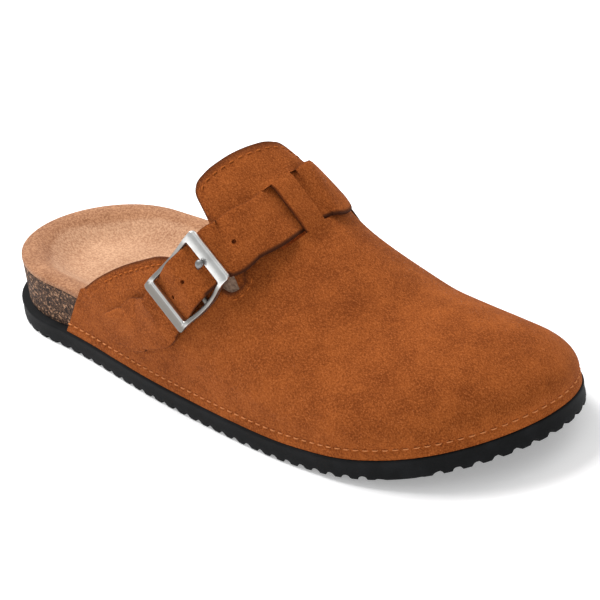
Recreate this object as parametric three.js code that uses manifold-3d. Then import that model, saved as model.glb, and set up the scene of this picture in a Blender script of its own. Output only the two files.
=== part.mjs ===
// A suede clog with a cork footbed, right foot, size EU 39. Millimetres, +X to the toe,
// +Y to the inner side of the foot, +Z up. The floor is at zero and the shoe stands on it empty.
import * as THREE from 'three';
import Module from 'manifold-3d';

const wasm = await Module();
wasm.setup();

// Overall sizes
const LENGTH = 262;
const BALL_WIDTH = 94.5;
const HEEL_WIDTH = 70;
const TOE_SPRING = 10.8;
const SPRING_FROM = 0.64;

// Layers and clearances
const OUTSOLE_HEIGHT = 7.5;
const WALL = 1.8;
const UPPER_INSET = 0.8;
const GAP = 0.3;
const INSOLE_THICKNESS = 2.0;
const INSOLE_EDGE = 0.6;
const FACET = 0.15;
const CORK_INSET = UPPER_INSET + WALL + GAP + FACET;

// Ribs round the lower edge of the outsole
const RIB_PITCH = 7.0;
const RIB_NOTCH_RADIUS = 1.55;
const RIB_NOTCH_LENGTH = 8;
const FLOOR_INSET = 0.8;

// Strap
const STRAP_THICKNESS = 1.9;
const TIP_RADIUS = 3.5;
const SLIT_CLEARANCE = 0.9;

// Buckle, in its own axes: across the strap, along the strap, out of the face
const BUCKLE_WIDTH = 21.9;
const BUCKLE_LENGTH = 33.1;
const BAR_WIDTH = 5.2;
const BAR_THICKNESS = 1.6;
const SIDE_WIDTH = 1.5;
const SIDE_DEPTH = 1.9;
const PIN_RADIUS = 1.0;
const PIN_DEPTH = 3.2;
const PRONG_RADIUS = 0.85;
const PRONG_WALL = 0.9;
const TAB_WIDTH = 8;
const TAB_WALL = 1.2;

// Where the buckle sits on the skin, and its directions there as shares of forward along the
// skin, up over the skin and straight out.
const BUCKLE_SEAT = { place: 0.5152, side: -0.8157, lift: 6.66 };
const BUCKLE_ACROSS = [0.762, -0.604, -0.233];
const BUCKLE_ALONG = [0.631, 0.773, 0.060];

// Plan of the sole. place: share of the length from the heel. centre: middle line, share of
// the ball width. swell: half width, 0 as the heel and 1 as the ball.
const PLAN = [
  { place: 0.00, centre: -0.010, swell: 0.00 },
  { place: 0.08, centre: 0.008, swell: 0.00 },
  { place: 0.16, centre: 0.014, swell: 0.00 },
  { place: 0.24, centre: 0.004, swell: 0.11 },
  { place: 0.32, centre: -0.022, swell: 0.19 },
  { place: 0.40, centre: -0.045, swell: 0.27 },
  { place: 0.48, centre: -0.056, swell: 0.38 },
  { place: 0.58, centre: -0.046, swell: 0.65 },
  { place: 0.68, centre: -0.022, swell: 0.93 },
  { place: 0.76, centre: -0.006, swell: 1.00 },
  { place: 0.84, centre: 0.008, swell: 1.00 },
  { place: 0.92, centre: 0.026, swell: 1.00 },
  { place: 1.00, centre: 0.062, swell: 1.00 },
];
const HEEL_ROUND = 0.16;
const TOE_ROUND = 0.24;

// Footbed. rim: cork height over the outsole at its edge. cup: depth of the bed below the rim.
// arch: extra height at the inner side. roll: how far the edge of the insole stands up.
// draw: how far the inner edge is drawn in under the upper.
const BED = [
  { place: 0.00, rim: 16.9, cup: 8.0, arch: 0.0, roll: 0.1, draw: 0.0 },
  { place: 0.15, rim: 16.9, cup: 8.0, arch: 0.0, roll: 0.1, draw: 0.0 },
  { place: 0.30, rim: 16.7, cup: 6.5, arch: 1.5, roll: 0.1, draw: 0.0 },
  { place: 0.45, rim: 15.0, cup: 4.0, arch: 3.0, roll: 0.1, draw: 0.0 },
  { place: 0.60, rim: 10.5, cup: 2.5, arch: 1.0, roll: 0.1, draw: 1.3 },
  { place: 0.70, rim: 8.2, cup: 1.5, arch: 0.4, roll: 0.1, draw: 2.5 },
  { place: 0.80, rim: 6.6, cup: 1.0, arch: 0.0, roll: 0.1, draw: 3.4 },
  { place: 0.90, rim: 6.0, cup: 0.7, arch: 0.0, roll: 0.1, draw: 2.2 },
  { place: 1.00, rim: 5.8, cup: 0.5, arch: 0.0, roll: 0.1, draw: 0.7 },
];

// Skin of the upper. ridge: height of the top line over the floor. shift: the top line from
// the middle, share of the half width. wall and sill: upright part of the lateral and the inner
// side. round and inner: how the roof bends on those sides, 1 is a bow and 2 a quarter round.
const LAST = [
  { place: 0.08, ridge: 66.0, shift: 0.000, wall: 26.0, sill: 26.0, round: 1.25, inner: 1.25 },
  { place: 0.18, ridge: 76.0, shift: 0.000, wall: 24.0, sill: 24.0, round: 1.25, inner: 1.25 },
  { place: 0.28, ridge: 84.0, shift: 0.040, wall: 22.0, sill: 22.0, round: 1.25, inner: 1.25 },
  { place: 0.38, ridge: 91.0, shift: 0.140, wall: 20.0, sill: 20.0, round: 1.25, inner: 1.20 },
  { place: 0.46, ridge: 95.5, shift: 0.190, wall: 19.0, sill: 19.0, round: 1.25, inner: 1.15 },
  { place: 0.54, ridge: 86.0, shift: 0.210, wall: 18.0, sill: 17.0, round: 1.30, inner: 1.04 },
  { place: 0.62, ridge: 66.2, shift: 0.130, wall: 14.5, sill: 11.0, round: 1.45, inner: 1.07 },
  { place: 0.70, ridge: 55.0, shift: 0.050, wall: 10.0, sill: 6.5, round: 1.60, inner: 1.07 },
  { place: 0.78, ridge: 46.2, shift: 0.050, wall: 8.0, sill: 4.5, round: 1.70, inner: 1.07 },
  { place: 0.86, ridge: 43.8, shift: 0.065, wall: 7.0, sill: 4.5, round: 1.80, inner: 1.17 },
  { place: 0.93, ridge: 44.0, shift: 0.085, wall: 6.0, sill: 5.5, round: 1.85, inner: 1.57 },
  { place: 1.00, ridge: 42.0, shift: 0.085, wall: 6.0, sill: 6.0, round: 1.90, inner: 1.80 },
];
const CAP_FROM = 0.795;
const CAP_ROUND = 2.17;

// Opening line of the upper. foot and crown: places round the edge of the sole (0 heel, 1 toe,
// 2 heel again, lateral side first) where a section leaves the sole and leaves the upright wall.
// place and side: the point of the opening line, side -1 the lateral edge, 0 the top, 1 the inner.
const COLLAR = [
  { foot: 0.282, crown: 0.329, place: 0.258, side: -0.990 },
  { foot: 0.330, crown: 0.350, place: 0.293, side: -0.942 },
  { foot: 0.376, crown: 0.382, place: 0.344, side: -0.882 },
  { foot: 0.417, crown: 0.417, place: 0.392, side: -0.835 },
  { foot: 0.449, crown: 0.449, place: 0.431, side: -0.807 },
  { foot: 0.487, crown: 0.487, place: 0.485, side: -0.790 },
  { foot: 0.526, crown: 0.526, place: 0.533, side: -0.785 },
  { foot: 0.554, crown: 0.554, place: 0.568, side: -0.780 },
  { foot: 0.573, crown: 0.573, place: 0.588, side: -0.750 },
  { foot: 0.590, crown: 0.590, place: 0.590, side: -0.695 },
  { foot: 0.607, crown: 0.607, place: 0.570, side: -0.640 },
  { foot: 0.624, crown: 0.624, place: 0.536, side: -0.612 },
  { foot: 0.642, crown: 0.642, place: 0.505, side: -0.596 },
  { foot: 0.660, crown: 0.660, place: 0.480, side: -0.548 },
  { foot: 0.682, crown: 0.682, place: 0.473, side: -0.490 },
  { foot: 0.713, crown: 0.713, place: 0.479, side: -0.410 },
  { foot: 0.756, crown: 0.756, place: 0.492, side: -0.295 },
  { foot: 0.817, crown: 0.817, place: 0.505, side: -0.150 },
  { foot: 0.900, crown: 0.900, place: 0.514, side: -0.010 },
  { foot: 1.000, crown: 1.000, place: 0.518, side: 0.130 },
  { foot: 1.100, crown: 1.100, place: 0.522, side: 0.225 },
  { foot: 1.180, crown: 1.180, place: 0.529, side: 0.310 },
  { foot: 1.245, crown: 1.245, place: 0.540, side: 0.395 },
  { foot: 1.295, crown: 1.295, place: 0.554, side: 0.475 },
  { foot: 1.335, crown: 1.335, place: 0.565, side: 0.555 },
  { foot: 1.370, crown: 1.370, place: 0.568, side: 0.625 },
  { foot: 1.405, crown: 1.405, place: 0.556, side: 0.695 },
  { foot: 1.445, crown: 1.445, place: 0.525, side: 0.750 },
  { foot: 1.490, crown: 1.490, place: 0.480, side: 0.800 },
  { foot: 1.540, crown: 1.540, place: 0.430, side: 0.840 },
  { foot: 1.590, crown: 1.590, place: 0.378, side: 0.890 },
  { foot: 1.640, crown: 1.630, place: 0.325, side: 0.945 },
  { foot: 1.695, crown: 1.655, place: 0.280, side: 0.990 },
];

// Middle line of the strap from its free tip to the buckle. place and side as above, side beyond
// -1 or 1 runs down the upright wall to 2 at the sole. lift: middle of the leather over the
// skin. lean: how much the lift changes for each millimetre across. half: half of the width.
const STRAP_TIP = [
  { place: 0.315, side: -1.255, lift: 1.30, lean: 0.000, half: 4.4 },
  { place: 0.323, side: -1.245, lift: 1.30, lean: 0.000, half: 5.4 },
  { place: 0.335, side: -1.220, lift: 1.30, lean: 0.000, half: 6.1 },
  { place: 0.357, side: -1.150, lift: 1.30, lean: 0.000, half: 7.1 },
  { place: 0.384, side: -1.035, lift: 1.40, lean: -0.010, half: 8.3 },
  { place: 0.412, side: -0.990, lift: 1.75, lean: -0.040, half: 9.3 },
];

// The strap through the buckle, in the buckle's long section.
const STRAP_BUCKLE = [
  { along: -26.0, out: -5.35, half: 9.6 },
  { along: -21.5, out: -4.15, half: 9.3 },
  { along: -17.0, out: -3.40, half: 9.1 },
  { along: -14.0, out: -3.10, half: 9.0 },
  { along: -11.0, out: -2.95, half: 9.0 },
  { along: -7.5, out: -1.40, half: 8.9 },
  { along: 0.0, out: 0.95, half: 8.9 },
  { along: 7.5, out: -1.40, half: 8.9 },
  { along: 11.0, out: -2.95, half: 9.0 },
  { along: 14.0, out: -3.10, half: 9.0 },
  { along: 17.0, out: -3.60, half: 9.1 },
];

// The strap from the buckle under the bridge and down the inner side to the sole.
const STRAP_INNER = [
  { place: 0.556, side: -0.606, lift: 5.60, lean: -0.160, half: 9.6 },
  { place: 0.565, side: -0.520, lift: 3.90, lean: -0.090, half: 9.9 },
  { place: 0.575, side: -0.430, lift: 2.60, lean: -0.030, half: 10.1 },
  { place: 0.582, side: -0.360, lift: 1.70, lean: 0.000, half: 10.2 },
  { place: 0.586, side: -0.305, lift: 0.40, lean: 0.000, half: 10.2 },
  { place: 0.588, side: -0.250, lift: -1.80, lean: 0.000, half: 10.2 },
  { place: 0.589, side: -0.195, lift: -3.55, lean: 0.000, half: 10.2 },
  { place: 0.590, side: -0.110, lift: -3.70, lean: 0.000, half: 10.2 },
  { place: 0.590, side: -0.020, lift: -3.55, lean: 0.000, half: 10.2 },
  { place: 0.590, side: 0.055, lift: -2.30, lean: 0.000, half: 10.2 },
  { place: 0.590, side: 0.120, lift: 0.05, lean: 0.000, half: 10.1 },
  { place: 0.589, side: 0.185, lift: 1.90, lean: 0.000, half: 10.0 },
  { place: 0.585, side: 0.280, lift: 1.95, lean: 0.000, half: 9.8 },
  { place: 0.574, side: 0.400, lift: 1.70, lean: 0.000, half: 9.7 },
  { place: 0.556, side: 0.540, lift: 1.50, lean: 0.000, half: 9.9 },
  { place: 0.540, side: 0.680, lift: 1.40, lean: 0.000, half: 10.4 },
  { place: 0.527, side: 0.810, lift: 1.40, lean: 0.000, half: 11.0 },
  { place: 0.519, side: 0.910, lift: 1.45, lean: 0.000, half: 11.5 },
  { place: 0.514, side: 0.980, lift: 1.50, lean: 0.000, half: 11.8 },
  { place: 0.511, side: 1.060, lift: 1.50, lean: 0.000, half: 12.0 },
  { place: 0.505, side: 1.500, lift: 1.40, lean: 0.000, half: 12.0 },
];

// Windows of the upper that the strap dips through, cut straight in. place: their middle.
// bridge and lip: the edge at the bridge and the far one. half: half of the strap there.
const WINDOWS = [
  { place: 0.584, bridge: -0.178, lip: -0.395, half: 10.5 },
  { place: 0.584, bridge: -0.012, lip: 0.300, half: 11.3 },
];

const clamp = (v, lo, hi) => Math.min(hi, Math.max(lo, v));
const vec = (x, y, z) => new THREE.Vector3(x, y, z);

// Smooth curve through one column of a table, read at a value of its first column.
function read(table, key, column, at) {
  const last = table.length - 1;
  const x = clamp(at, table[0][key], table[last][key]);
  let i = 0;
  while (i < last - 1 && x >= table[i + 1][key]) i += 1;
  const step = (k) => table[k + 1][key] - table[k][key];
  const rise = (k) => (table[k + 1][column] - table[k][column]) / step(k);
  const slope = (k) => {
    if (k === 0) return rise(0);
    if (k === last) return rise(last - 1);
    return (rise(k - 1) * step(k) + rise(k) * step(k - 1)) / (step(k) + step(k - 1));
  };
  const h = step(i);
  const t = (x - table[i][key]) / h;
  const a = table[i][column];
  const b = table[i + 1][column];
  return (2 * t ** 3 - 3 * t ** 2 + 1) * a + (t ** 3 - 2 * t ** 2 + t) * h * slope(i)
    + (3 * t ** 2 - 2 * t ** 3) * b + (t ** 3 - t ** 2) * h * slope(i + 1);
}

const share = (x) => x / LENGTH + 0.5;
const station = (place) => (place - 0.5) * LENGTH;
const centreLine = (x) => read(PLAN, 'place', 'centre', share(x)) * BALL_WIDTH;

// Half width of the plan at x, for an outline drawn in by an inset.
function halfWidth(x, inset) {
  const swell = read(PLAN, 'place', 'swell', share(x));
  const flat = HEEL_WIDTH / 2 + (BALL_WIDTH - HEEL_WIDTH) / 2 * swell - inset;
  const heel = (station(HEEL_ROUND) - x) / (HEEL_ROUND * LENGTH - inset);
  const toe = (x - station(1 - TOE_ROUND)) / (TOE_ROUND * LENGTH - inset);
  const end = clamp(Math.max(heel, toe, 0), 0, 1);
  return flat * Math.sqrt(1 - end * end);
}

// Rise of the sole's underside in front of the ball.
function ground(x) {
  const t = clamp((share(x) - SPRING_FROM) / (1 - SPRING_FROM), 0, 1);
  return TOE_SPRING * t * t;
}

// Point of the outline at a turn: 0 heel, 1 toe, 2 heel again, lateral side first.
function outline(turn, inset) {
  const x = -(LENGTH / 2 - inset) * Math.cos(Math.PI * turn);
  const sign = turn < 1 ? -1 : 1;
  return [x, centreLine(x) + sign * halfWidth(x, inset)];
}

// Closed body from rows of points. Equal points are one corner, and flat triangles are left out.
function bodyOf(rows, wrap) {
  const corners = [];
  const index = new Map();
  const triangles = [];
  const corner = (p) => {
    const key = `${Math.round(p[0] * 2e3)},${Math.round(p[1] * 2e3)},${Math.round(p[2] * 2e3)}`;
    if (!index.has(key)) {
      index.set(key, corners.length / 3);
      corners.push(p[0], p[1], p[2]);
    }
    return index.get(key);
  };
  const grid = rows.map((row) => row.map(corner));
  const add = (a, b, c) => {
    if (a !== b && b !== c && c !== a) triangles.push(a, b, c);
  };
  const width = grid[0].length;
  for (let i = 0; i + 1 < grid.length; i += 1) {
    for (let j = 0; j < (wrap ? width : width - 1); j += 1) {
      const k = (j + 1) % width;
      add(grid[i][j], grid[i][k], grid[i + 1][k]);
      add(grid[i][j], grid[i + 1][k], grid[i + 1][j]);
    }
  }
  return { corners, triangles, grid, add };
}

// Geometry of a closed body, turned so that its faces look outwards.
function geometryOf({ corners, triangles }) {
  const at = (i) => vec(corners[3 * i], corners[3 * i + 1], corners[3 * i + 2]);
  let volume = 0;
  for (let i = 0; i < triangles.length; i += 3) {
    volume += at(triangles[i]).dot(at(triangles[i + 1]).cross(at(triangles[i + 2])));
  }
  const geometry = new THREE.BufferGeometry();
  geometry.setAttribute('position', new THREE.Float32BufferAttribute(corners, 3));
  geometry.setIndex(volume < 0 ? triangles.slice().reverse() : triangles);
  return geometry;
}

// Solid for joining and cutting, and back.
function solidOf(geometry) {
  const plain = geometry.index ? geometry.toNonIndexed() : geometry;
  const at = plain.getAttribute('position');
  const keys = new Map();
  const points = [];
  const faces = [];
  for (let i = 0; i < at.count; i += 1) {
    const p = [at.getX(i), at.getY(i), at.getZ(i)];
    const key = p.map((v) => Math.round(v * 2e3)).join();
    if (!keys.has(key)) {
      keys.set(key, points.length / 3);
      points.push(...p);
    }
    faces.push(keys.get(key));
  }
  const kept = [];
  for (let i = 0; i < faces.length; i += 3) {
    const [a, b, c] = faces.slice(i, i + 3);
    if (a !== b && b !== c && c !== a) kept.push(a, b, c);
  }
  return new wasm.Manifold(new wasm.Mesh({
    numProp: 3,
    vertProperties: new Float32Array(points),
    triVerts: new Uint32Array(kept),
  }));
}

function geometryFrom(solid) {
  const mesh = solid.getMesh();
  const geometry = new THREE.BufferGeometry();
  geometry.setAttribute('position', new THREE.Float32BufferAttribute(mesh.vertProperties, 3));
  geometry.setIndex([...mesh.triVerts]);
  return geometry;
}

const group = new THREE.Group();
group.name = 'clog';

function addPart(name, geometry, color, roughness, metalness) {
  const material = new THREE.MeshStandardMaterial({ color, roughness, metalness });
  const mesh = new THREE.Mesh(geometry, material);
  mesh.name = name;
  group.add(mesh);
  return mesh;
}

// Sole layers. A ring is a copy of the outline drawn towards the middle line: reach 1 is the
// edge and 0 the middle line, drawn is the share of the draw-in at the inner side. Its height is
// a function of x, y and the reach.
const bed = (column, x) => read(BED, 'place', column, share(x));
const SOLE_COLUMNS = 80;
function layer(rings) {
  const rows = rings.map(({ reach, inset, height, drawn = 0 }) => {
    const row = [];
    for (let j = 0; j < SOLE_COLUMNS; j += 1) {
      const turn = 2 * j / SOLE_COLUMNS;
      const [ox, oy] = outline(turn, inset);
      const mx = clamp(ox, station(HEEL_ROUND), station(1 - TOE_ROUND));
      const my = centreLine(mx);
      const x = mx + reach * (ox - mx);
      const inward = turn > 1 ? drawn * bed('draw', ox) * Math.min(1, (oy - my) / (BALL_WIDTH / 6)) : 0;
      const y = my + reach * (oy - inward - my);
      row.push([x, y, height(x, y, reach)]);
    }
    return row;
  });
  return geometryOf(bodyOf(rows, true));
}

const REACHES = [0, 0.4, 0.75];

// Outsole: flat heel and ball, toe spring, notched lower edge.
{
  const top = (x) => ground(x) + OUTSOLE_HEIGHT;
  const block = layer([
    ...REACHES.map((reach) => ({ reach, inset: 0, height: ground })),
    { reach: 1, inset: FLOOR_INSET, height: ground },
    { reach: 1, inset: 0, height: (x) => top(x) - 0.5 },
    { reach: 1, inset: 0.5, height: top },
    ...REACHES.slice().reverse().map((reach) => ({ reach, inset: 0, height: top })),
  ]);
  const turns = [];
  let walked = 0;
  let before = outline(0, 0);
  for (let i = 1; i <= 2400; i += 1) {
    const turn = 2 * i / 2400;
    const here = outline(turn, 0);
    walked += Math.hypot(here[0] - before[0], here[1] - before[1]);
    before = here;
    if (walked >= RIB_PITCH * (turns.length + 0.5)) turns.push(turn);
  }
  const notches = turns.map((turn) => {
    const [x, y] = outline(turn, 0);
    const [ax, ay] = outline(turn - 0.002, 0);
    const [bx, by] = outline(turn + 0.002, 0);
    const facing = Math.atan2(-(bx - ax), by - ay);
    const notch = new THREE.CylinderGeometry(RIB_NOTCH_RADIUS, RIB_NOTCH_RADIUS, RIB_NOTCH_LENGTH, 4);
    notch.rotateY(Math.PI / 4);
    notch.rotateZ(facing - Math.PI / 2);
    notch.translate(x, y, ground(x) + 0.15);
    return solidOf(notch);
  });
  const cut = solidOf(block).subtract(wasm.Manifold.union(notches));
  addPart('outsole', geometryFrom(cut), 0x2d3032, 0.75, 0);
}

// Cork midsole: flat below, cupped bed above with a raised inner arch.
function bedHeight(x, y, reach) {
  const t = clamp((1 - reach) / 0.5, 0, 1);
  const bowl = t * t * (3 - 2 * t);
  const inner = clamp((y - centreLine(x)) / (HEEL_WIDTH / 2), 0, 1);
  return ground(x) + OUTSOLE_HEIGHT + bed('rim', x) - bed('cup', x) * bowl + bed('arch', x) * inner * bowl;
}
const BED_REACHES = [0.93, 0.8, 0.65, 0.5, 0];
const CORK_SIDE = 0.55;
const CORK_DRAWN = 0.6;
{
  const under = (x) => ground(x) + OUTSOLE_HEIGHT + GAP;
  addPart('cork_midsole', layer([
    ...REACHES.map((reach) => ({ reach, inset: 0, height: under })),
    { reach: 1, inset: CORK_INSET, height: under },
    { reach: 1, inset: CORK_INSET, height: (x) => under(x) + CORK_SIDE * (bed('rim', x) - GAP) },
    { reach: 1, inset: CORK_INSET, height: bedHeight, drawn: CORK_DRAWN },
    ...BED_REACHES.map((reach) => ({ reach, inset: CORK_INSET, height: bedHeight, drawn: CORK_DRAWN })),
  ]), 0x5a4636, 0.9, 0);
}

// Insole: a sheet over the cork with a rolled edge.
{
  const under = (x, y, reach) => bedHeight(x, y, reach) + GAP;
  const rolled = (x, y, reach) => under(x, y, reach) + INSOLE_EDGE + bed('roll', x);
  const inset = CORK_INSET;
  addPart('insole', layer([
    ...BED_REACHES.slice().reverse().map((reach) => ({ reach, inset, height: under, drawn: CORK_DRAWN })),
    { reach: 1, inset, height: under, drawn: CORK_DRAWN },
    { reach: 1, inset: inset + 0.2, height: (x, y, r) => under(x, y, r) + INSOLE_EDGE, drawn: 1 },
    { reach: 0.97, inset: inset + 0.2, height: rolled, drawn: 1 },
    { reach: 0.92, inset, height: rolled, drawn: 1 },
    ...BED_REACHES.slice(1).map((reach) => ({
      reach, inset, height: (x, y, r) => under(x, y, r) + INSOLE_THICKNESS, drawn: 1,
    })),
  ]), 0xd5a47a, 0.95, 0);
}

// Section of the upper's skin at x.
function section(x) {
  const at = share(x);
  const width = Math.max(halfWidth(x, UPPER_INSET), 1e-6);
  const base = ground(x) + OUTSOLE_HEIGHT;
  const end = clamp((at - CAP_FROM) / (1 - UPPER_INSET / LENGTH - CAP_FROM), 0, 1);
  const cap = (1 - end ** CAP_ROUND) ** (1 / CAP_ROUND);
  const half = (wall, bend) => ({
    wall: read(LAST, 'place', wall, at),
    rise: Math.max((read(LAST, 'place', 'ridge', at) - base - read(LAST, 'place', wall, at)) * cap, 1e-6),
    bend: read(LAST, 'place', bend, at),
  });
  return {
    width,
    middle: centreLine(x),
    shift: read(LAST, 'place', 'shift', at) * width,
    base,
    lateral: half('wall', 'round'),
    medial: half('sill', 'inner'),
  };
}

const halfOf = (s, y) => (y - s.middle > s.shift ? s.medial : s.lateral);

function sideOf(s, y) {
  const d = y - s.middle;
  return d > s.shift ? (d - s.shift) / (s.width - s.shift) : (d - s.shift) / (s.width + s.shift);
}

function yOf(s, side) {
  const t = clamp(side, -1, 1);
  return s.middle + s.shift + t * (t > 0 ? s.width - s.shift : s.width + s.shift);
}

// Height of the skin over a plan point.
function skinHeight(x, y) {
  const s = section(x);
  const t = clamp(sideOf(s, y), -1, 1);
  const h = halfOf(s, y);
  return s.base + h.wall + h.rise * (1 - t * t) ** (1 / h.bend);
}

// Point of the skin at a place and side, the side running on down the wall beyond 1.
function skinPoint(place, side) {
  const x = station(place);
  const s = section(x);
  const over = Math.abs(side) - 1;
  if (over > 0) return vec(x, yOf(s, side), s.base + halfOf(s, yOf(s, side)).wall * (1 - over));
  return vec(x, yOf(s, side), skinHeight(x, yOf(s, side)));
}

// Zero on the skin, above zero outside it.
function field(p) {
  const s = section(p.x);
  const t = sideOf(s, p.y);
  const half = halfOf(s, p.y);
  const h = Math.max(p.z - s.base - half.wall, 0) / half.rise;
  return t * t + h ** half.bend - 1;
}

function slopeAt(p) {
  const e = 0.02;
  return vec(
    field(vec(p.x + e, p.y, p.z)) - field(vec(p.x - e, p.y, p.z)),
    field(vec(p.x, p.y + e, p.z)) - field(vec(p.x, p.y - e, p.z)),
    field(vec(p.x, p.y, p.z + e)) - field(vec(p.x, p.y, p.z - e)),
  ).divideScalar(2 * e);
}

const normalAt = (p) => slopeAt(p).normalize();

// Nearest point of the skin, found by walking down the slope of the field.
function footOf(p) {
  const q = p.clone();
  for (let i = 0; i < 6; i += 1) {
    const slope = slopeAt(q);
    q.addScaledVector(slope, -field(q) / slope.lengthSq());
    const out = slope.normalize();
    const off = p.clone().sub(q);
    q.add(off.addScaledVector(out, -off.dot(out)).multiplyScalar(0.6));
  }
  const slope = slopeAt(q);
  return q.addScaledVector(slope, -field(q) / slope.lengthSq());
}

// Upper: one wall of leather on the last, open at the heel, the collar, the notch and below.
const UPPER_STEP = 0.0245;
const WALL_ROWS = 2;
const ROOF_ROWS = 11;
function upperGrid() {
  const table = COLLAR.map((row, index) => ({ ...row, index }));
  const outer = [];
  const inner = [];
  const stops = [0];
  for (let i = 1; i < COLLAR.length; i += 1) {
    const split = Math.max(2, Math.ceil((COLLAR[i].foot - COLLAR[i - 1].foot) / UPPER_STEP));
    for (let k = 1; k <= split; k += 1) stops.push(i - 1 + k / split);
  }
  for (const stop of stops) {
    const at = (column) => read(table, 'index', column, stop);
    const top = skinPoint(at('place'), at('side'));
    const outerRow = [];
    const innerRow = [];
    const put = (p, flat) => {
      outerRow.push([p.x, p.y, p.z]);
      const out = normalAt(p);
      if (flat) out.z = 0;
      const q = p.clone().addScaledVector(out.normalize(), -WALL);
      innerRow.push([q.x, q.y, q.z]);
    };
    for (let j = 0; j <= WALL_ROWS; j += 1) {
      const t = j / WALL_ROWS;
      const [x, y] = outline(at('foot') + t * (at('crown') - at('foot')), UPPER_INSET);
      const s = section(x);
      put(vec(x, y, s.base + GAP + t * (halfOf(s, y).wall - GAP)), true);
    }
    const [cx, cy] = outline(at('crown'), UPPER_INSET);
    for (let j = 1; j <= ROOF_ROWS; j += 1) {
      const t = (j / ROOF_ROWS) ** 1.6;
      const x = cx + t * (top.x - cx);
      const y = cy + t * (top.y - cy);
      put(vec(x, y, skinHeight(x, y)), false);
    }
    outer.push(outerRow);
    inner.push(innerRow);
  }
  return { outer, inner };
}

// Buckle axes as a matrix, so that its pieces are drawn flat and set down together.
const seat = skinPoint(BUCKLE_SEAT.place, BUCKLE_SEAT.side);
const seatOut = normalAt(seat);
const seatForward = vec(1, 0, 0).addScaledVector(seatOut, -seatOut.x).normalize();
const seatUp = seatForward.clone().cross(seatOut).negate();
const onSeat = ([forward, up, out]) => vec(0, 0, 0).addScaledVector(seatForward, forward)
  .addScaledVector(seatUp, up).addScaledVector(seatOut, out);
const across = onSeat(BUCKLE_ACROSS).normalize();
const along = onSeat(BUCKLE_ALONG);
along.addScaledVector(across, -along.dot(across)).normalize();
const face = across.clone().cross(along).normalize();
const buckleCentre = seat.clone().addScaledVector(seatOut, BUCKLE_SEAT.lift);
const buckleMatrix = new THREE.Matrix4().makeBasis(across, along, face).setPosition(buckleCentre);

// A row of the strap's table for a point of the buckle's long section.
function buckleRow({ along: a, out, half }) {
  const p = vec(0, a, out).applyMatrix4(buckleMatrix);
  const liftOf = (q) => {
    const foot = footOf(q);
    return q.clone().sub(foot).dot(normalAt(foot));
  };
  const foot = footOf(p);
  const rise = liftOf(p.clone().addScaledVector(across, half)) - liftOf(p.clone().addScaledVector(across, -half));
  return {
    place: share(foot.x), side: sideOf(section(foot.x), foot.y), lift: liftOf(p), lean: rise / (2 * half), half,
  };
}

// Strap: a band of even thickness that follows the skin at its own lift.
const STRAP_SPLIT = 2;
const ACROSS = [-1, -0.4, 0.4, 1];
const strapRows = [...STRAP_TIP, ...STRAP_BUCKLE.map(buckleRow), ...STRAP_INNER];
const strapTable = strapRows.map((row, index) => ({ ...row, index }));
function strapFrame(index) {
  const at = (column) => read(strapTable, 'index', column, index);
  const base = skinPoint(at('place'), at('side'));
  const centre = base.clone().addScaledVector(normalAt(base), at('lift'));
  return { centre, out: normalAt(base), lift: at('lift'), lean: at('lean'), half: at('half') };
}
function strapSection(index, walked) {
  const here = strapFrame(index);
  const back = strapFrame(Math.max(index - 0.25, 0)).centre;
  const ahead = strapFrame(Math.min(index + 0.25, strapRows.length - 1)).centre;
  const along = ahead.sub(back).normalize();
  const across = along.clone().cross(here.out).normalize();
  const tip = clamp(1 - walked / TIP_RADIUS, 0, 1);
  const half = here.half * (0.42 + 0.58 * Math.sqrt(1 - tip * tip));
  const under = [];
  const over = [];
  for (const share of ACROSS) {
    const w = share * half;
    const foot = footOf(here.centre.clone().addScaledVector(across, w));
    const out = normalAt(foot);
    const mid = foot.addScaledVector(out, here.lift + here.lean * w);
    const face = out.addScaledVector(across, -here.lean).normalize();
    under.push(mid.clone().addScaledVector(face, -STRAP_THICKNESS / 2).toArray());
    over.push(mid.clone().addScaledVector(face, STRAP_THICKNESS / 2).toArray());
  }
  return [...under, ...over.reverse()];
}

const bodyWithCaps = (rows) => {
  const body = bodyOf(rows, true);
  const first = body.grid[0];
  const last = body.grid[body.grid.length - 1];
  const n = first.length;
  for (let i = 0; i < n / 2 - 1; i += 1) {
    const j = n - 1 - i;
    body.add(first[i], first[j], first[j - 1]);
    body.add(first[i], first[j - 1], first[i + 1]);
    body.add(last[i], last[j - 1], last[j]);
    body.add(last[i], last[i + 1], last[j - 1]);
  }
  return body;
};

function strapGeometry() {
  const rows = [];
  let walked = 0;
  let before = strapFrame(0).centre;
  for (let i = 0; i <= (strapRows.length - 1) * STRAP_SPLIT; i += 1) {
    const here = strapFrame(i / STRAP_SPLIT).centre;
    walked += here.distanceTo(before);
    before = here.clone();
    rows.push(strapSection(i / STRAP_SPLIT, walked));
  }
  return geometryOf(bodyWithCaps(rows));
}

// A flat profile in the buckle's long section, as thick as the given width across.
function buckleProfile(points, width, shiftAcross) {
  const shape = new THREE.Shape(points.map(([a, n]) => new THREE.Vector2(a, n)));
  const geometry = new THREE.ExtrudeGeometry(shape, { depth: width, bevelEnabled: false });
  geometry.translate(0, 0, shiftAcross - width / 2);
  geometry.applyMatrix4(new THREE.Matrix4().makeBasis(vec(0, 1, 0), vec(0, 0, 1), vec(1, 0, 0)));
  return solidOf(geometry);
}

function acrossCylinder(radius, width, segments) {
  const geometry = new THREE.CylinderGeometry(radius, radius, width, segments);
  geometry.rotateZ(Math.PI / 2);
  geometry.translate(0, 0, -PIN_DEPTH);
  return solidOf(geometry);
}

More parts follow.
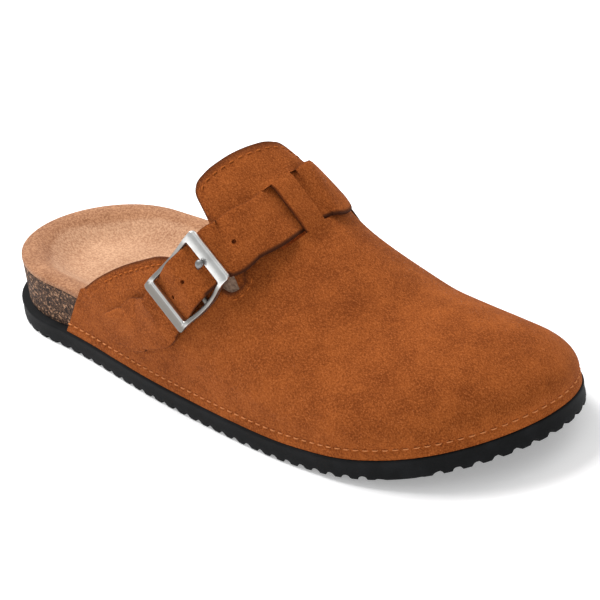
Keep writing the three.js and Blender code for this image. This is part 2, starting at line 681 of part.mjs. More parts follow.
const sideLine = new THREE.CatmullRomCurve3([
  vec(0, -BUCKLE_LENGTH / 2 + 1.2, -BAR_THICKNESS / 2),
  vec(0, -BUCKLE_LENGTH / 2 + BAR_WIDTH, -BAR_THICKNESS / 2 - 0.2),
  vec(0, -4.5, -PIN_DEPTH + 0.7),
  vec(0, 0, -PIN_DEPTH + 0.15),
  vec(0, 4.5, -PIN_DEPTH + 0.7),
  vec(0, BUCKLE_LENGTH / 2 - BAR_WIDTH, -BAR_THICKNESS / 2 - 0.2),
  vec(0, BUCKLE_LENGTH / 2 - 1.2, -BAR_THICKNESS / 2),
]);

function sideBar(sign) {
  const line = sideLine.getPoints(14);
  const upper = line.map((p) => [p.y, p.z + SIDE_DEPTH / 2]);
  const lower = line.map((p) => [p.y, p.z - SIDE_DEPTH / 2]).reverse();
  return buckleProfile([...upper, ...lower], SIDE_WIDTH, sign * (BUCKLE_WIDTH - SIDE_WIDTH) / 2);
}

// End bar: a flat plate with eased edges, its outer half bent down.
function endBar(sign) {
  const outer = BUCKLE_LENGTH / 2;
  const inner = outer - BAR_WIDTH;
  const ease = 0.35;
  const points = [
    [inner, -BAR_THICKNESS + ease], [inner, -ease], [inner + ease, 0],
    [outer - 1.6, 0], [outer - 0.3, -0.5], [outer, -0.9], [outer - 0.4, -BAR_THICKNESS - 0.2],
    [outer - 1.8, -BAR_THICKNESS], [inner + ease, -BAR_THICKNESS],
  ].map(([a, n]) => [sign * a, n]);
  return buckleProfile(points, BUCKLE_WIDTH, 0);
}

const pin = acrossCylinder(PIN_RADIUS, BUCKLE_WIDTH - 0.6, 12);
const frameSolid = wasm.Manifold.union([endBar(1), endBar(-1), sideBar(1), sideBar(-1), pin]);

// Prong: a ring round the pin and a rod that goes up through the strap and rests on the bar.
const PRONG_LINE = [
  { along: 1.5, out: -PIN_DEPTH - 0.1 },
  { along: 4.6, out: -PIN_DEPTH + 0.0 },
  { along: 7.2, out: -2.35 },
  { along: 9.0, out: -0.4 },
  { along: 10.4, out: 0.95 },
  { along: 12.0, out: PRONG_RADIUS + GAP },
  { along: 13.8, out: PRONG_RADIUS + GAP },
];
function prongRod(radius, segments) {
  const curve = new THREE.CatmullRomCurve3(PRONG_LINE.map((p) => vec(0, p.along, p.out)));
  const sides = 6;
  const frames = curve.computeFrenetFrames(segments);
  const rows = [];
  for (let i = 0; i <= segments; i += 1) {
    const centre = curve.getPointAt(i / segments);
    const row = [];
    for (let j = 0; j < sides; j += 1) {
      const turn = 2 * Math.PI * j / sides;
      const p = centre.clone()
        .addScaledVector(frames.normals[i], Math.cos(turn) * radius)
        .addScaledVector(frames.binormals[i], Math.sin(turn) * radius);
      row.push(p.toArray());
    }
    rows.push(row);
  }
  return solidOf(geometryOf(bodyWithCaps(rows)));
}
const prongRing = acrossCylinder(PIN_RADIUS + GAP + PRONG_WALL, 2.4, 14)
  .subtract(acrossCylinder(PIN_RADIUS + GAP, 4, 14));
const prongSolid = prongRing.add(prongRod(PRONG_RADIUS, 11).subtract(acrossCylinder(PIN_RADIUS + GAP, 4, 14)));

const setDown = (solid) => {
  const geometry = geometryFrom(solid);
  geometry.applyMatrix4(buckleMatrix);
  return geometry;
};

// Upper, with the windows for the strap.
{
  const { outer, inner } = upperGrid();
  const rows = outer.map((row, i) => [...row, ...inner[i].slice().reverse()]);
  const body = bodyWithCaps(rows);
  const cuts = WINDOWS.map(({ place, bridge, lip, half }) => {
    const near = skinPoint(place, bridge);
    const far = skinPoint(place, lip);
    const out = normalAt(skinPoint(place, (bridge + lip) / 2)).setY(0).normalize();
    const front = vec(out.z, 0, -out.x);
    const reach = half + SLIT_CLEARANCE;
    const shape = new THREE.Shape([
      new THREE.Vector2(-reach, near.y), new THREE.Vector2(reach, near.y),
      new THREE.Vector2(reach, far.y), new THREE.Vector2(-reach, far.y),
    ]);
    const depth = 24;
    const geometry = new THREE.ExtrudeGeometry(shape, { depth, bevelEnabled: false });
    geometry.translate(0, 0, -depth * 0.6);
    const middle = near.add(far).divideScalar(2).setY(0);
    geometry.applyMatrix4(new THREE.Matrix4().makeBasis(front, vec(0, 1, 0), out).setPosition(middle));
    return solidOf(geometry);
  });
  const solid = solidOf(geometryOf(body)).subtract(wasm.Manifold.union(cuts));
  addPart('upper', geometryFrom(solid), 0xa5562a, 0.95, 0);
}

// Strap, with the hole that the prong goes through.
{
  const hole = solidOf(setDown(prongRod(PRONG_RADIUS + GAP, 12)));
  const solid = solidOf(strapGeometry()).subtract(hole);
  addPart('strap', geometryFrom(solid), 0xa5562a, 0.95, 0);
}

addPart('buckle_frame', setDown(frameSolid), 0xb9bcc0, 0.3, 1);
addPart('buckle_prong', setDown(prongSolid), 0xa9acb0, 0.35, 1);

// Tab: leather folded round the pin, its tail lying on the wing below the strap.
const TAB = [
  { index: 12.25, over: 2.9 },
  { index: 11.8, over: 3.0 },
  { index: 11.2, over: 2.0 },
  { index: 10.2, over: 1.5 },
  { index: 8.7, over: 1.5 },
  { index: 7.2, over: 1.5 },
];
{
  const rows = TAB.map(({ index, over }) => {
    const here = strapFrame(index);
    const next = strapFrame(index - 0.3).centre;
    const side = next.sub(here.centre).normalize().cross(here.out).normalize();
    const low = [];
    const high = [];
    for (const share of ACROSS) {
      const foot = footOf(here.centre.clone().addScaledVector(side, share * TAB_WIDTH / 2));
      const out = normalAt(foot);
      low.push(foot.clone().addScaledVector(out, GAP + FACET).toArray());
      high.push(foot.clone().addScaledVector(out, over).toArray());
    }
    return [...low, ...high.reverse()];
  });
  const tail = solidOf(geometryOf(bodyWithCaps(rows)));
  const toRow = (solid) => solidOf(setDown(solid));
  const loop = toRow(acrossCylinder(PIN_RADIUS + GAP + TAB_WALL, TAB_WIDTH, 12));
  const bore = toRow(acrossCylinder(PIN_RADIUS + GAP, TAB_WIDTH + 4, 12));
  const slot = toRow(acrossCylinder(PIN_RADIUS + GAP + TAB_WALL + 2.5, 2.4 + 2 * GAP, 12));
  const rod = toRow(prongRod(PRONG_RADIUS + GAP, 12));
  const solid = tail.add(loop).subtract(bore).subtract(slot).subtract(rod);
  addPart('buckle_tab', geometryFrom(solid), 0x9a4f27, 0.95, 0);
}

export default group;
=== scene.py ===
import bmesh
import bpy
import numpy as np
from mathutils import Matrix, Vector


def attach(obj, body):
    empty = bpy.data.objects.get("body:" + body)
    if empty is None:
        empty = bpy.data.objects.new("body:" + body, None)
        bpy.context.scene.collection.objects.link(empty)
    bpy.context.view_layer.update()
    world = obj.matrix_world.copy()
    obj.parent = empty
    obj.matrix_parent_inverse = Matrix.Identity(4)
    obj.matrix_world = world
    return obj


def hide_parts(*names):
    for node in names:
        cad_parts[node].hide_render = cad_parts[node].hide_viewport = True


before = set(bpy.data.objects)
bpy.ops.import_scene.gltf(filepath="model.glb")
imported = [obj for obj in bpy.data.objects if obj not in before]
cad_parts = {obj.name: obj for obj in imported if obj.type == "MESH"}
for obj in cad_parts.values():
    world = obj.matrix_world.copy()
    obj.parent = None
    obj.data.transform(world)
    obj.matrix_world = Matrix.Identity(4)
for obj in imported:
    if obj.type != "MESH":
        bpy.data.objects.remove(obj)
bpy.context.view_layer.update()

# Outsole. A black foamed sheet cut to the plan of the foot and glued under the cork. Small notches
# run round its lower edge, but for a worn stretch at the outer ball. It lies flat at the heel and
# the ball and springs up at the toe.
MM = 0.001
LENGTH = 262.0
BALL_WIDTH = 94.5
HEEL_WIDTH = 70.0
TOE_SPRING = 10.8
SPRING_FROM = 0.64
HEEL_ROUND = 0.16
TOE_ROUND = 0.24
OUTSOLE_HEIGHT = 7.5
RIB_PITCH = 7.0
RIB_DEPTH = 1.3
RIB_HALF = 1.9
WORN_TURN = 0.775
WORN_REACH = 0.045
SOLE_COLUMNS = 1300
UNDER_REACHES = (0, .4, .75)
SOLE_SECTION = {
    "inset": [4.6, 4.3, 2.5, .8, .35, .1, 0, 0, .12, .12, 0, .05, .25, .6],
    "height": [0, 0, 0, 0, .15, .55, 1.1, 2.6, 4.2, 5.6, 6.6, 7.1, 7.4, 7.5],
    "lifted": [0, .8, 1, 1.05, 1.12, 1.25, 1.4, 0, 0, 0, 0, 0, 0, 0],
}
PLAN = {
    "place": [0, .08, .16, .24, .32, .40, .48, .58, .68, .76, .84, .92, 1],
    "centre": [-.010, .008, .014, .004, -.022, -.045, -.056, -.046, -.022, -.006, .008, .026, .062],
    "swell": [0, 0, 0, .11, .19, .27, .38, .65, .93, 1, 1, 1, 1],
}


def read(table, column, at, key="place"):
    """A cubic through a table's column; its slope at a row is the weighted mean of both sides."""
    x = np.asarray(table[key], float)
    y = np.asarray(table[column], float)
    step = np.diff(x)
    rise = np.diff(y) / step
    inner = (rise[:-1] * step[1:] + rise[1:] * step[:-1]) / (step[1:] + step[:-1])
    slope = np.concatenate([rise[:1], inner, rise[-1:]])
    at = np.clip(at, x[0], x[-1])
    i = np.clip(np.searchsorted(x, at, side="right") - 1, 0, len(x) - 2)
    h = step[i]
    t = (at - x[i]) / h
    low = (2 * t**3 - 3 * t**2 + 1) * y[i] + (t**3 - 2 * t**2 + t) * h * slope[i]
    return low + (3 * t**2 - 2 * t**3) * y[i + 1] + (t**3 - t**2) * h * slope[i + 1]


def share(x):
    """Place of x: its share of the length from the heel."""
    return x / LENGTH + 0.5


def centre_line(x):
    """Middle of the plan at x."""
    return read(PLAN, "centre", share(x)) * BALL_WIDTH


def half_width(x, inset):
    """Half width of the plan: swelling from heel to ball, with a quarter ellipse at both ends."""
    flat = HEEL_WIDTH / 2 + (BALL_WIDTH - HEEL_WIDTH) / 2 * read(PLAN, "swell", share(x)) - inset
    heel = ((HEEL_ROUND - 0.5) * LENGTH - x) / (HEEL_ROUND * LENGTH - inset)
    toe = (x - (0.5 - TOE_ROUND) * LENGTH) / (TOE_ROUND * LENGTH - inset)
    end = np.clip(np.maximum(heel, toe), 0, 1)
    return flat * np.sqrt(1 - end * end)


def ground(x):
    """Height of the underside: zero, then a parabola in front of the ball."""
    t = np.clip((share(x) - SPRING_FROM) / (1 - SPRING_FROM), 0, 1)
    return TOE_SPRING * t * t


def outline(turn, inset):
    """Point of the plan's edge at a turn: 0 heel, 1 toe, 2 heel again, lateral side first."""
    x = -(LENGTH / 2 - inset) * np.cos(np.pi * turn)
    return x, centre_line(x) + np.where(turn < 1, -1, 1) * half_width(x, inset)


def ring(turns, inset, reach=1.0, drawn=0.0):
    """The plan's edge drawn towards the middle line: x and y of each column."""
    ox, oy = outline(turns, inset)
    mx = np.clip(ox, (HEEL_ROUND - 0.5) * LENGTH, (0.5 - TOE_ROUND) * LENGTH)
    my = centre_line(mx)
    inward = np.where(turns > 1, drawn * np.clip((oy - my) / (BALL_WIDTH / 6), -1, 1), 0)
    return mx + reach * (ox - mx), my + reach * (oy - inward - my)


def surface(name, points, wrap_rows=False, wrap_columns=False):
    """A grid of points in millimetres, rows by columns, joined by four-sided faces into a piece
    whose doubled points are merged and whose faces look outwards."""
    rows, columns = points.shape[:2]
    index = np.arange(rows * columns).reshape(rows, columns)
    if wrap_rows:
        index = np.vstack([index, index[:1]])
    if wrap_columns:
        index = np.hstack([index, index[:, :1]])
    corners = [index[:-1, :-1], index[:-1, 1:], index[1:, 1:], index[1:, :-1]]
    faces = np.stack(corners, -1).reshape(-1, 4)
    mesh = bpy.data.meshes.new(name)
    mesh.from_pydata(points.reshape(-1, 3) * MM, [], faces.tolist())
    tidy_mesh(mesh)
    piece = bpy.data.objects.new(name, mesh)
    bpy.context.scene.collection.objects.link(piece)
    return piece


def tidy_mesh(mesh):
    """Merges doubled points, turns the faces outwards and shades them smooth."""
    work = bmesh.new()
    work.from_mesh(mesh)
    bmesh.ops.remove_doubles(work, verts=work.verts, dist=2e-6)
    bmesh.ops.dissolve_degenerate(work, dist=1e-7, edges=work.edges)
    if work.calc_volume(signed=True) < 0:
        bmesh.ops.reverse_faces(work, faces=work.faces)
    work.to_mesh(mesh)
    work.free()
    mesh.polygons.foreach_set("use_smooth", np.ones(len(mesh.polygons), bool))
    mesh.update()


def sharpen(piece, degrees):
    """Edges that turn by more than the given angle are shaded sharp."""
    work = bmesh.new()
    work.from_mesh(piece.data)
    limit = np.radians(degrees)
    for edge in work.edges:
        edge.smooth = bool(len(edge.link_faces) == 2 and edge.calc_face_angle(0) < limit)
    work.to_mesh(piece.data)
    work.free()


def places_of(piece):
    """The piece's points in millimetres."""
    co = np.zeros(len(piece.data.vertices) * 3, np.float32)
    piece.data.vertices.foreach_get("co", co)
    return co.reshape(-1, 3).astype(float) / MM


def mark(piece, name, values):
    """Keeps one number a point under a name, for the finish to read."""
    layer = piece.data.attributes.new(name, "FLOAT", "POINT")
    layer.data.foreach_set("value", np.asarray(values, np.float32))


def paint(red, green, blue):
    """A colour given from 0 to 255 as a screen shows it, in linear light."""
    c = np.array([red, green, blue]) / 255
    linear = np.where(c <= 0.04045, c / 12.92, ((c + 0.055) / 1.055) ** 2.4)
    return (*linear.tolist(), 1.0)


class Wire:
    """One output of a finish's nodes; sums and products of wires add Math nodes."""

    def __init__(self, finish, socket):
        self.finish = finish
        self.socket = socket

    def math(self, operation, first, second):
        return self.finish.node("ShaderNodeMath", {"operation": operation}, {0: first, 1: second})

    def __add__(self, other):
        return self.math("ADD", self, other)

    def __sub__(self, other):
        return self.math("SUBTRACT", self, other)

    def __rsub__(self, other):
        return self.math("SUBTRACT", other, self)

    def __mul__(self, other):
        return self.math("MULTIPLY", self, other)

    __radd__ = __add__
    __rmul__ = __mul__

    def step(self, low, high):
        """0 below low, 1 above high, and a smooth rise between them."""
        inputs = {"Value": self, "From Min": low, "From Max": high}
        return self.finish.node("ShaderNodeMapRange", {"interpolation_type": "SMOOTHSTEP"}, inputs)


class Finish:
    """A material whose nodes are made one by one with node()."""

    def __init__(self, name):
        self.material = bpy.data.materials.new(name + "_finish")
        self.material.use_nodes = True
        self.tree = self.material.node_tree
        self.shader = self.tree.nodes["Principled BSDF"]
        self.place = self.node("ShaderNodeTexCoord", {}, {}, "Object")

    def node(self, kind, settings, inputs, output=0):
        node = self.tree.nodes.new(kind)
        for key, value in settings.items():
            setattr(node, key, value)
        for key, value in inputs.items():
            self.put(node.inputs[key], value)
        return Wire(self, node.outputs[output])

    def put(self, socket, value):
        if isinstance(value, Wire):
            self.tree.links.new(value.socket, socket)
        else:
            socket.default_value = value

    def noise(self, scale, detail=2.0, roughness=0.5, place=None):
        inputs = {"Vector": place or self.place, "Scale": scale, "Detail": detail, "Roughness": roughness}
        return self.node("ShaderNodeTexNoise", {}, inputs, "Fac")

    def cells(self, scale, output="Distance", place=None):
        inputs = {"Vector": place or self.place, "Scale": scale}
        return self.node("ShaderNodeTexVoronoi", {}, inputs, output)

    def attribute(self, name):
        return self.node("ShaderNodeAttribute", {"attribute_name": name}, {}, "Fac")

    def mix(self, mask, low, high):
        return self.node("ShaderNodeMix", {"data_type": "RGBA"}, {0: mask, 6: low, 7: high}, 2)

    def stretch(self, scales, turn=(0, 0, 0)):
        inputs = {"Vector": self.place, "Scale": scales, "Rotation": turn}
        return self.node("ShaderNodeMapping", {}, inputs)

    def close(self, colour, roughness, height=None, distance=0.0002, strength=1.0, **fixed):
        """Joins the finish to the shader; height feeds a bump, and fixed values go on its sockets."""
        self.put(self.shader.inputs["Base Color"], colour)
        self.put(self.shader.inputs["Roughness"], roughness)
        if height is not None:
            inputs = {"Height": height, "Distance": distance, "Strength": strength}
            self.put(self.shader.inputs["Normal"], self.node("ShaderNodeBump", {}, inputs))
        for key, value in fixed.items():
            self.shader.inputs[key.replace("_", " ")].default_value = value
        return self.material


def finish_rubber():
    """Charcoal foam: fine pores, a faint bloom of dust and a dull sheen."""
    f = Finish("outsole_rubber")
    pores = f.noise(2600, 3)
    bloom = f.noise(120, 4)
    colour = f.mix(bloom.step(0.35, 0.75), paint(13, 14, 15), paint(25, 26, 28))
    height = pores * 0.6 + f.noise(700, 2) * 0.6
    return f.close(colour, 0.62 + bloom * 0.2, height, 0.00012, 0.7, Specular_IOR_Level=0.12)


def settle(piece, material, *nodes):
    """Gives a piece its finish and its body, and hides the CAD nodes it stands for."""
    piece.data.materials.clear()
    piece.data.materials.append(material)
    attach(piece, "root")
    if nodes:
        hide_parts(*nodes)
    return piece


SOLE_TURNS = 2 * np.arange(SOLE_COLUMNS) / SOLE_COLUMNS
edge_x, edge_y = outline(np.append(SOLE_TURNS, 2.0), 0.0)
walked = np.concatenate([[0], np.cumsum(np.hypot(np.diff(edge_x), np.diff(edge_y)))])[:-1]
off = np.abs((walked / RIB_PITCH) % 1 - 0.5) * RIB_PITCH
worn = np.clip(np.abs(SOLE_TURNS - WORN_TURN) / WORN_REACH, 0, 1) ** 2
notch = RIB_DEPTH * worn * np.sqrt(np.clip(1 - (off / RIB_HALF) ** 2, 0, 1)) ** 0.8


def sole_row(inset, height, reach=1.0, lifted=0.0):
    """One row of the outsole: height over the underside, with a share of the notches."""
    x, y = ring(SOLE_TURNS, inset, reach)
    return np.stack([x, y, ground(x) + np.maximum(height, lifted * notch)], -1)


rows = [sole_row(0, 0, reach) for reach in UNDER_REACHES]
rows += [sole_row(inset, height, 1.0, lifted) for inset, height, lifted in zip(*SOLE_SECTION.values())]
rows += [sole_row(0, OUTSOLE_HEIGHT, reach) for reach in UNDER_REACHES[::-1]]
outsole = surface("outsole_foam", np.array(rows), wrap_columns=True)
sharpen(outsole, 50)
settle(outsole, finish_rubber(), "outsole")

# Cork midsole. Ground cork and latex pressed in a mould, dark with pale grains, glued on the
# outsole. It stands bare round the heel and carries the cup of the bed above.
UPPER_INSET = 0.8
WALL = 1.8
GAP = 0.3
CORK_INSET = UPPER_INSET + WALL + GAP + 0.15
CORK_GRAIN = 1050
BED_COLUMNS = 520
BED = {
    "place": [0, .15, .30, .45, .60, .70, .80, .90, 1],
    "rim": [16.9, 16.9, 16.7, 15, 10.5, 8.2, 6.6, 6, 5.8],
    "cup": [8, 8, 6.5, 4, 2.5, 1.5, 1, .7, .5],
    "arch": [0, 0, 1.5, 3, 1, .4, 0, 0, 0],
    "draw": [0, 0, 0, 0, 1.3, 2.5, 3.4, 2.2, .7],
    "lap": [1.4, 1.5, 1.7, 1.3, .6, .3, .2, .2, .2],
}
BED_TURNS = 2 * np.arange(BED_COLUMNS) / BED_COLUMNS


def bed_height(x, y, reach):
    """Top of the cork: the rim, less the cup inside it, plus the arch at the inner side."""
    t = np.clip((1 - reach) / 0.5, 0, 1)
    bowl = t * t * (3 - 2 * t)
    inner = np.clip((y - centre_line(x)) / (HEEL_WIDTH / 2), 0, 1)
    at = share(x)
    low = ground(x) + OUTSOLE_HEIGHT + read(BED, "rim", at) - read(BED, "cup", at) * bowl
    return low + read(BED, "arch", at) * inner * bowl


def bed_row(inset, reach, over, drawn=0.6, lap=0.0):
    """One row over the bed: a fixed height over the cork's top, less a share of the lap."""
    draw = read(BED, "draw", share(outline(BED_TURNS, inset)[0]))
    x, y = ring(BED_TURNS, inset, reach, drawn * draw)
    drop = lap * read(BED, "lap", share(x))
    return np.stack([x, y, bed_height(x, y, reach) + over - drop], -1)


def cork_row(part):
    """One row up the cork's side, from its foot to the lap of the insole."""
    draw = read(BED, "draw", share(outline(BED_TURNS, 0)[0]))
    x, y = ring(BED_TURNS, CORK_INSET, 1.0, 0.6 * part * draw)
    low = ground(x) + OUTSOLE_HEIGHT + GAP
    high = bed_height(x, y, 1.0) - read(BED, "lap", share(x))
    return np.stack([x, y, low + part * (high - low)], -1)


def finish_cork():
    """Dark ground cork: cells of many browns, pale grains of two sizes and pits between them."""
    f = Finish("cork")
    warp = f.noise(400, 2)
    place = f.node("ShaderNodeVectorMath", {"operation": "ADD"}, {0: f.stretch((1, 1, 1.3)), 1: f.node(
        "ShaderNodeCombineXYZ", {}, {0: warp * 0.0012, 1: warp * 0.0009, 2: warp * 0.001})})
    tone = f.node("ShaderNodeSeparateColor", {}, {0: f.cells(CORK_GRAIN, "Color", place)})
    small = f.node("ShaderNodeSeparateColor", {}, {0: f.cells(2 * CORK_GRAIN, "Color", place)}, 1)
    ground_colour = f.mix(tone.step(0.2, 0.9), paint(46, 34, 29), paint(88, 66, 53))
    grained = f.mix(small.step(0.80, 0.84), ground_colour, paint(124, 92, 70))
    colour = f.mix(tone.step(0.86, 0.89), grained, paint(166, 128, 100))
    pits = f.cells(CORK_GRAIN, "Distance", place) + f.noise(2200, 3) * 0.5
    return f.close(colour, 0.85, pits, 0.0004, 0.9, Specular_IOR_Level=0.25)


low_rows = []
for reach in UNDER_REACHES:
    x, y = ring(BED_TURNS, 0, reach)
    low_rows.append(np.stack([x, y, ground(x) + OUTSOLE_HEIGHT + GAP], -1))
rows = low_rows + [cork_row(part) for part in np.linspace(0, 1, 10)]
rows += [bed_row(CORK_INSET + 1.2, 1.0, -0.5, lap=1.0), bed_row(CORK_INSET + 2.4, 1.0, -0.6, lap=0.3)]
rows += [bed_row(CORK_INSET + 3.2, reach, -0.3) for reach in (0.97, 0.9, 0.8, 0.7, 0.6, 0.5, 0.25, 0)]
cork = surface("cork_bed", np.array(rows), wrap_columns=True)
sharpen(cork, 50)
settle(cork, finish_cork(), "cork_midsole")

# Insole. Tan suede pressed and glued over the cork, turned down over the rim at the heel. Its
# colour is painted darker and redder up the sides of the cup as painted shade, and pale on the flat of the
# bed.
INSOLE_THICKNESS = 2.0
INSOLE_EDGE = {
    "inset": [2.2, 1, .1, -.1, -.1, 0, .5, 1.2, 2.2, 3.2],
    "over": [-.3, -.2, .1, .4, .4, .55, .8, 1.05, 1.1, 1.15],
    "drawn": [.6, .6, .6, .6, .6, .8, 1, 1, 1, 1],
    "lap": [.3, 1, 1, .85, .4, .12, 0, 0, 0, 0],
}
INSOLE_BED = {"reach": [.97, .93, .88, .82], "over": [1.2, 1.4, 1.7, 1.9]}
INSOLE_FLAT = (.76, .7, .62, .54, .46, .36, .25, .12, 0)


def finish_insole():
    """Tan suede: a short nap, cloudy tone, and painted shade that makes it darker and redder up the wall of
    the cup.
    """
    f = Finish("insole_suede")
    cloud = f.noise(38, 4, 0.6)
    fibre = f.noise(1000, 4, 0.7, f.stretch((1, 1.6, 1), (0, 0, 0.6)))
    tone = cloud.step(0.3, 0.7) * 0.3 + fibre.step(0.36, 0.64) * 0.7
    flat = f.mix(tone, paint(158, 112, 82), paint(212, 168, 134))
    # Painted shade: the colour of the steep wall of the cup, mixed in by the wall mark.
    wall_shade_colour = f.mix(tone, paint(132, 86, 58), paint(192, 142, 106))
    wall = f.attribute("wall") + (f.noise(160, 3) - 0.5) * 0.4
    colour = f.mix(wall.step(0.2, 0.95), flat, wall_shade_colour)
    height = fibre + f.noise(420, 3) * 0.8
    return f.close(colour, 0.95, height, 0.00035, 0.8, Sheen_Weight=0.12, Sheen_Roughness=0.5,
                   Specular_IOR_Level=0.1)


rows = [bed_row(CORK_INSET + 3.2, reach, 0.05) for reach in (0, .25, .5, .6, .7, .8, .9, .96)]
for inset, over, drawn, lap in zip(*INSOLE_EDGE.values()):
    rows.append(bed_row(CORK_INSET + inset, 1.0, over, drawn, lap))
for reach, over in list(zip(*INSOLE_BED.values())) + [(reach, INSOLE_THICKNESS) for reach in INSOLE_FLAT]:
    rows.append(bed_row(CORK_INSET + 2.6, reach, over, 1.0))
insole = surface("insole_sheet", np.array(rows), wrap_columns=True)
co = places_of(insole)
beside = np.abs(co[:, 1] - centre_line(co[:, 0])) / np.maximum(half_width(co[:, 0], CORK_INSET), 1)
behind = np.clip((-0.5 * LENGTH + 45 - co[:, 0]) / 42, 0, 1.2)
# The wall mark is painted shade: it grows up the steep sides of the heel cup.
wall_shade = np.clip((np.hypot(beside, behind) - 0.72) / 0.1, 0, 1)
wall_shade *= np.clip((0.62 - share(co[:, 0])) / 0.2, 0, 1)
mark(insole, "wall", wall_shade)
settle(insole, finish_insole(), "insole")

# Upper. One cut of rust brown suede, closed over the last and stitched to the edge of the bed,
# open at the heel, with a notch at the strap and two windows with a bridge between them.
LAST = {
    "place": [.08, .18, .28, .38, .46, .54, .62, .70, .78, .86, .93, 1],
    "ridge": [66, 76, 84, 91, 95.5, 86, 66.2, 55, 46.2, 43.8, 44, 42],
    "shift": [0, 0, .04, .14, .19, .21, .13, .05, .05, .065, .085, .085],
    "wall": [26, 24, 22, 20, 19, 18, 14.5, 10, 8, 7, 6, 6],
    "sill": [26, 24, 22, 20, 19, 17, 11, 6.5, 4.5, 4.5, 5.5, 6],
    "round": [1.25, 1.25, 1.25, 1.25, 1.25, 1.3, 1.45, 1.6, 1.7, 1.8, 1.85, 1.9],
    "inner": [1.25, 1.25, 1.25, 1.2, 1.15, 1.04, 1.07, 1.07, 1.07, 1.17, 1.57, 1.8],
}
CAP_FROM = 0.795
CAP_ROUND = 2.17
COLLAR = {
    "foot": [
        .282, .330, .376, .417, .449, .487, .526, .554, .573, .590, .607, .624, .642, .660, .682, .713,
        .756, .817, .900, 1, 1.1, 1.18, 1.245, 1.295, 1.335, 1.37, 1.405, 1.445, 1.49, 1.54, 1.59, 1.64,
        1.695],
    "crown": [
        .329, .350, .382, .417, .449, .487, .526, .554, .573, .590, .607, .624, .642, .660, .682, .713,
        .756, .817, .900, 1, 1.1, 1.18, 1.245, 1.295, 1.335, 1.37, 1.405, 1.445, 1.49, 1.54, 1.59, 1.63,
        1.655],
    "place": [
        .262, .301, .347, .392, .431, .485, .533, .565, .577, .585, .587, .575, .530, .485, .473, .479, .492,
        .505, .514, .518, .517, .520, .531, .549, .565, .568, .556, .525, .480, .430, .378, .325, .280],
    "side": [
        -.988, -.934, -.878, -.835, -.807, -.79, -.785, -.777, -.755, -.715, -.668, -.625, -.6, -.548,
        -.49, -.41, -.295, -.15, -.01, .13, .225, .31, .395, .475, .555, .625, .695, .75, .8, .84, .89,
        .945, .99],
}
COLLAR["index"] = list(range(len(COLLAR["foot"])))
BAND_HEIGHTS = np.array([.3, .8, 1.4, 2.0, 2.6, 3.1, 3.5, 3.9, 4.3, 4.8, 5.5, 6.4])
WINDOWS = [
    {"place": .584, "bridge": -.178, "lip": -.395, "half": 10.2},
    {"place": .586, "bridge": -.012, "lip": .240, "half": 9.8},
]
SLIT_CLEARANCE = 0.5
WINDOW_DEPTHS = (-14.4, 9.6)
BRIDGE = {"x": 22.0, "z": 72.2, "side": -.095, "rise": 2.1}
SEAM_HEIGHT = 3.9
ROW_INSET = 2.9
ROW_WIDTH = 0.8


def section(x):
    """The skin's cross section at x: half width, middle, top line's shift, base, and for the
    lateral and the inner side the upright part, the rise of the roof and how it bends."""
    at = share(x)
    width = np.maximum(half_width(x, UPPER_INSET), 1e-6)
    base = ground(x) + OUTSOLE_HEIGHT
    end = np.clip((at - CAP_FROM) / (1 - UPPER_INSET / LENGTH - CAP_FROM), 0, 1)
    cap = (1 - end**CAP_ROUND) ** (1 / CAP_ROUND)
    sides = []
    for wall, bend in (("wall", "round"), ("sill", "inner")):
        height = read(LAST, wall, at)
        rise = np.maximum((read(LAST, "ridge", at) - base - height) * cap, 1e-6)
        sides.append((height, rise, read(LAST, bend, at)))
    return width, centre_line(x), read(LAST, "shift", at) * width, base, sides


def side_of(x, y):
    """Side of y at x: -1 the lateral edge, 0 the top line, 1 the inner edge; and its half's sizes."""
    width, middle, shift, base, (lateral, medial) = section(x)
    d = y - middle - shift
    inner = d > 0
    side = d / np.where(inner, width - shift, width + shift)
    wall, rise, bend = (np.where(inner, m, l) for l, m in zip(lateral, medial))
    return side, base, wall, rise, bend


def y_of(x, side):
    """The y of a side at x."""
    width, middle, shift, _, _ = section(x)
    t = np.clip(side, -1, 1)
    return middle + shift + t * np.where(t > 0, width - shift, width + shift)


def skin_height(x, y):
    """Height of the skin: base and wall, plus the rise times the section's bow."""
    side, base, wall, rise, bend = side_of(x, y)
    t = np.clip(side, -1, 1)
    return base + wall + rise * (1 - t * t) ** (1 / bend)


def skin_point(place, side):
    """Point of the skin; a side beyond 1 runs down the upright wall to 2 at the sole."""
    place, side = np.broadcast_arrays(np.asarray(place, float), np.asarray(side, float))
    x = (place - 0.5) * LENGTH
    y = y_of(x, side)
    _, base, wall, _, _ = side_of(x, y)
    over = np.abs(side) - 1
    z = np.where(over > 0, base + wall * (1 - over), skin_height(x, y))
    return np.stack([x, y, z], -1)


def field(p):
    """Zero on the skin and above zero outside it: the side squared plus the bent height, less 1."""
    side, base, wall, rise, bend = side_of(p[..., 0], p[..., 1])
    h = np.maximum(p[..., 2] - base - wall, 0) / rise
    return side * side + h**bend - 1


def slope_at(p):
    """Slope of the field by central differences."""
    e = 0.02 * np.eye(3)
    return np.stack([(field(p + e[k]) - field(p - e[k])) / 0.04 for k in range(3)], -1)


def unit(v):
    """A vector of length one."""
    return v / np.maximum(np.linalg.norm(v, axis=-1, keepdims=True), 1e-9)


def dot(a, b):
    """Inner product along the last axis, kept as a column."""
    return (a * b).sum(-1, keepdims=True)


def foot_of(p):
    """Nearest point of the skin: six steps down the slope, each followed by a slide along it."""
    q = p.copy()
    for _ in range(6):
        slope = slope_at(q)
        q = q - slope * field(q)[..., None] / dot(slope, slope)
        out = unit(slope)
        off_skin = p - q
        q = q + 0.6 * (off_skin - out * dot(off_skin, out))
    slope = slope_at(q)
    return q - slope * field(q)[..., None] / dot(slope, slope)


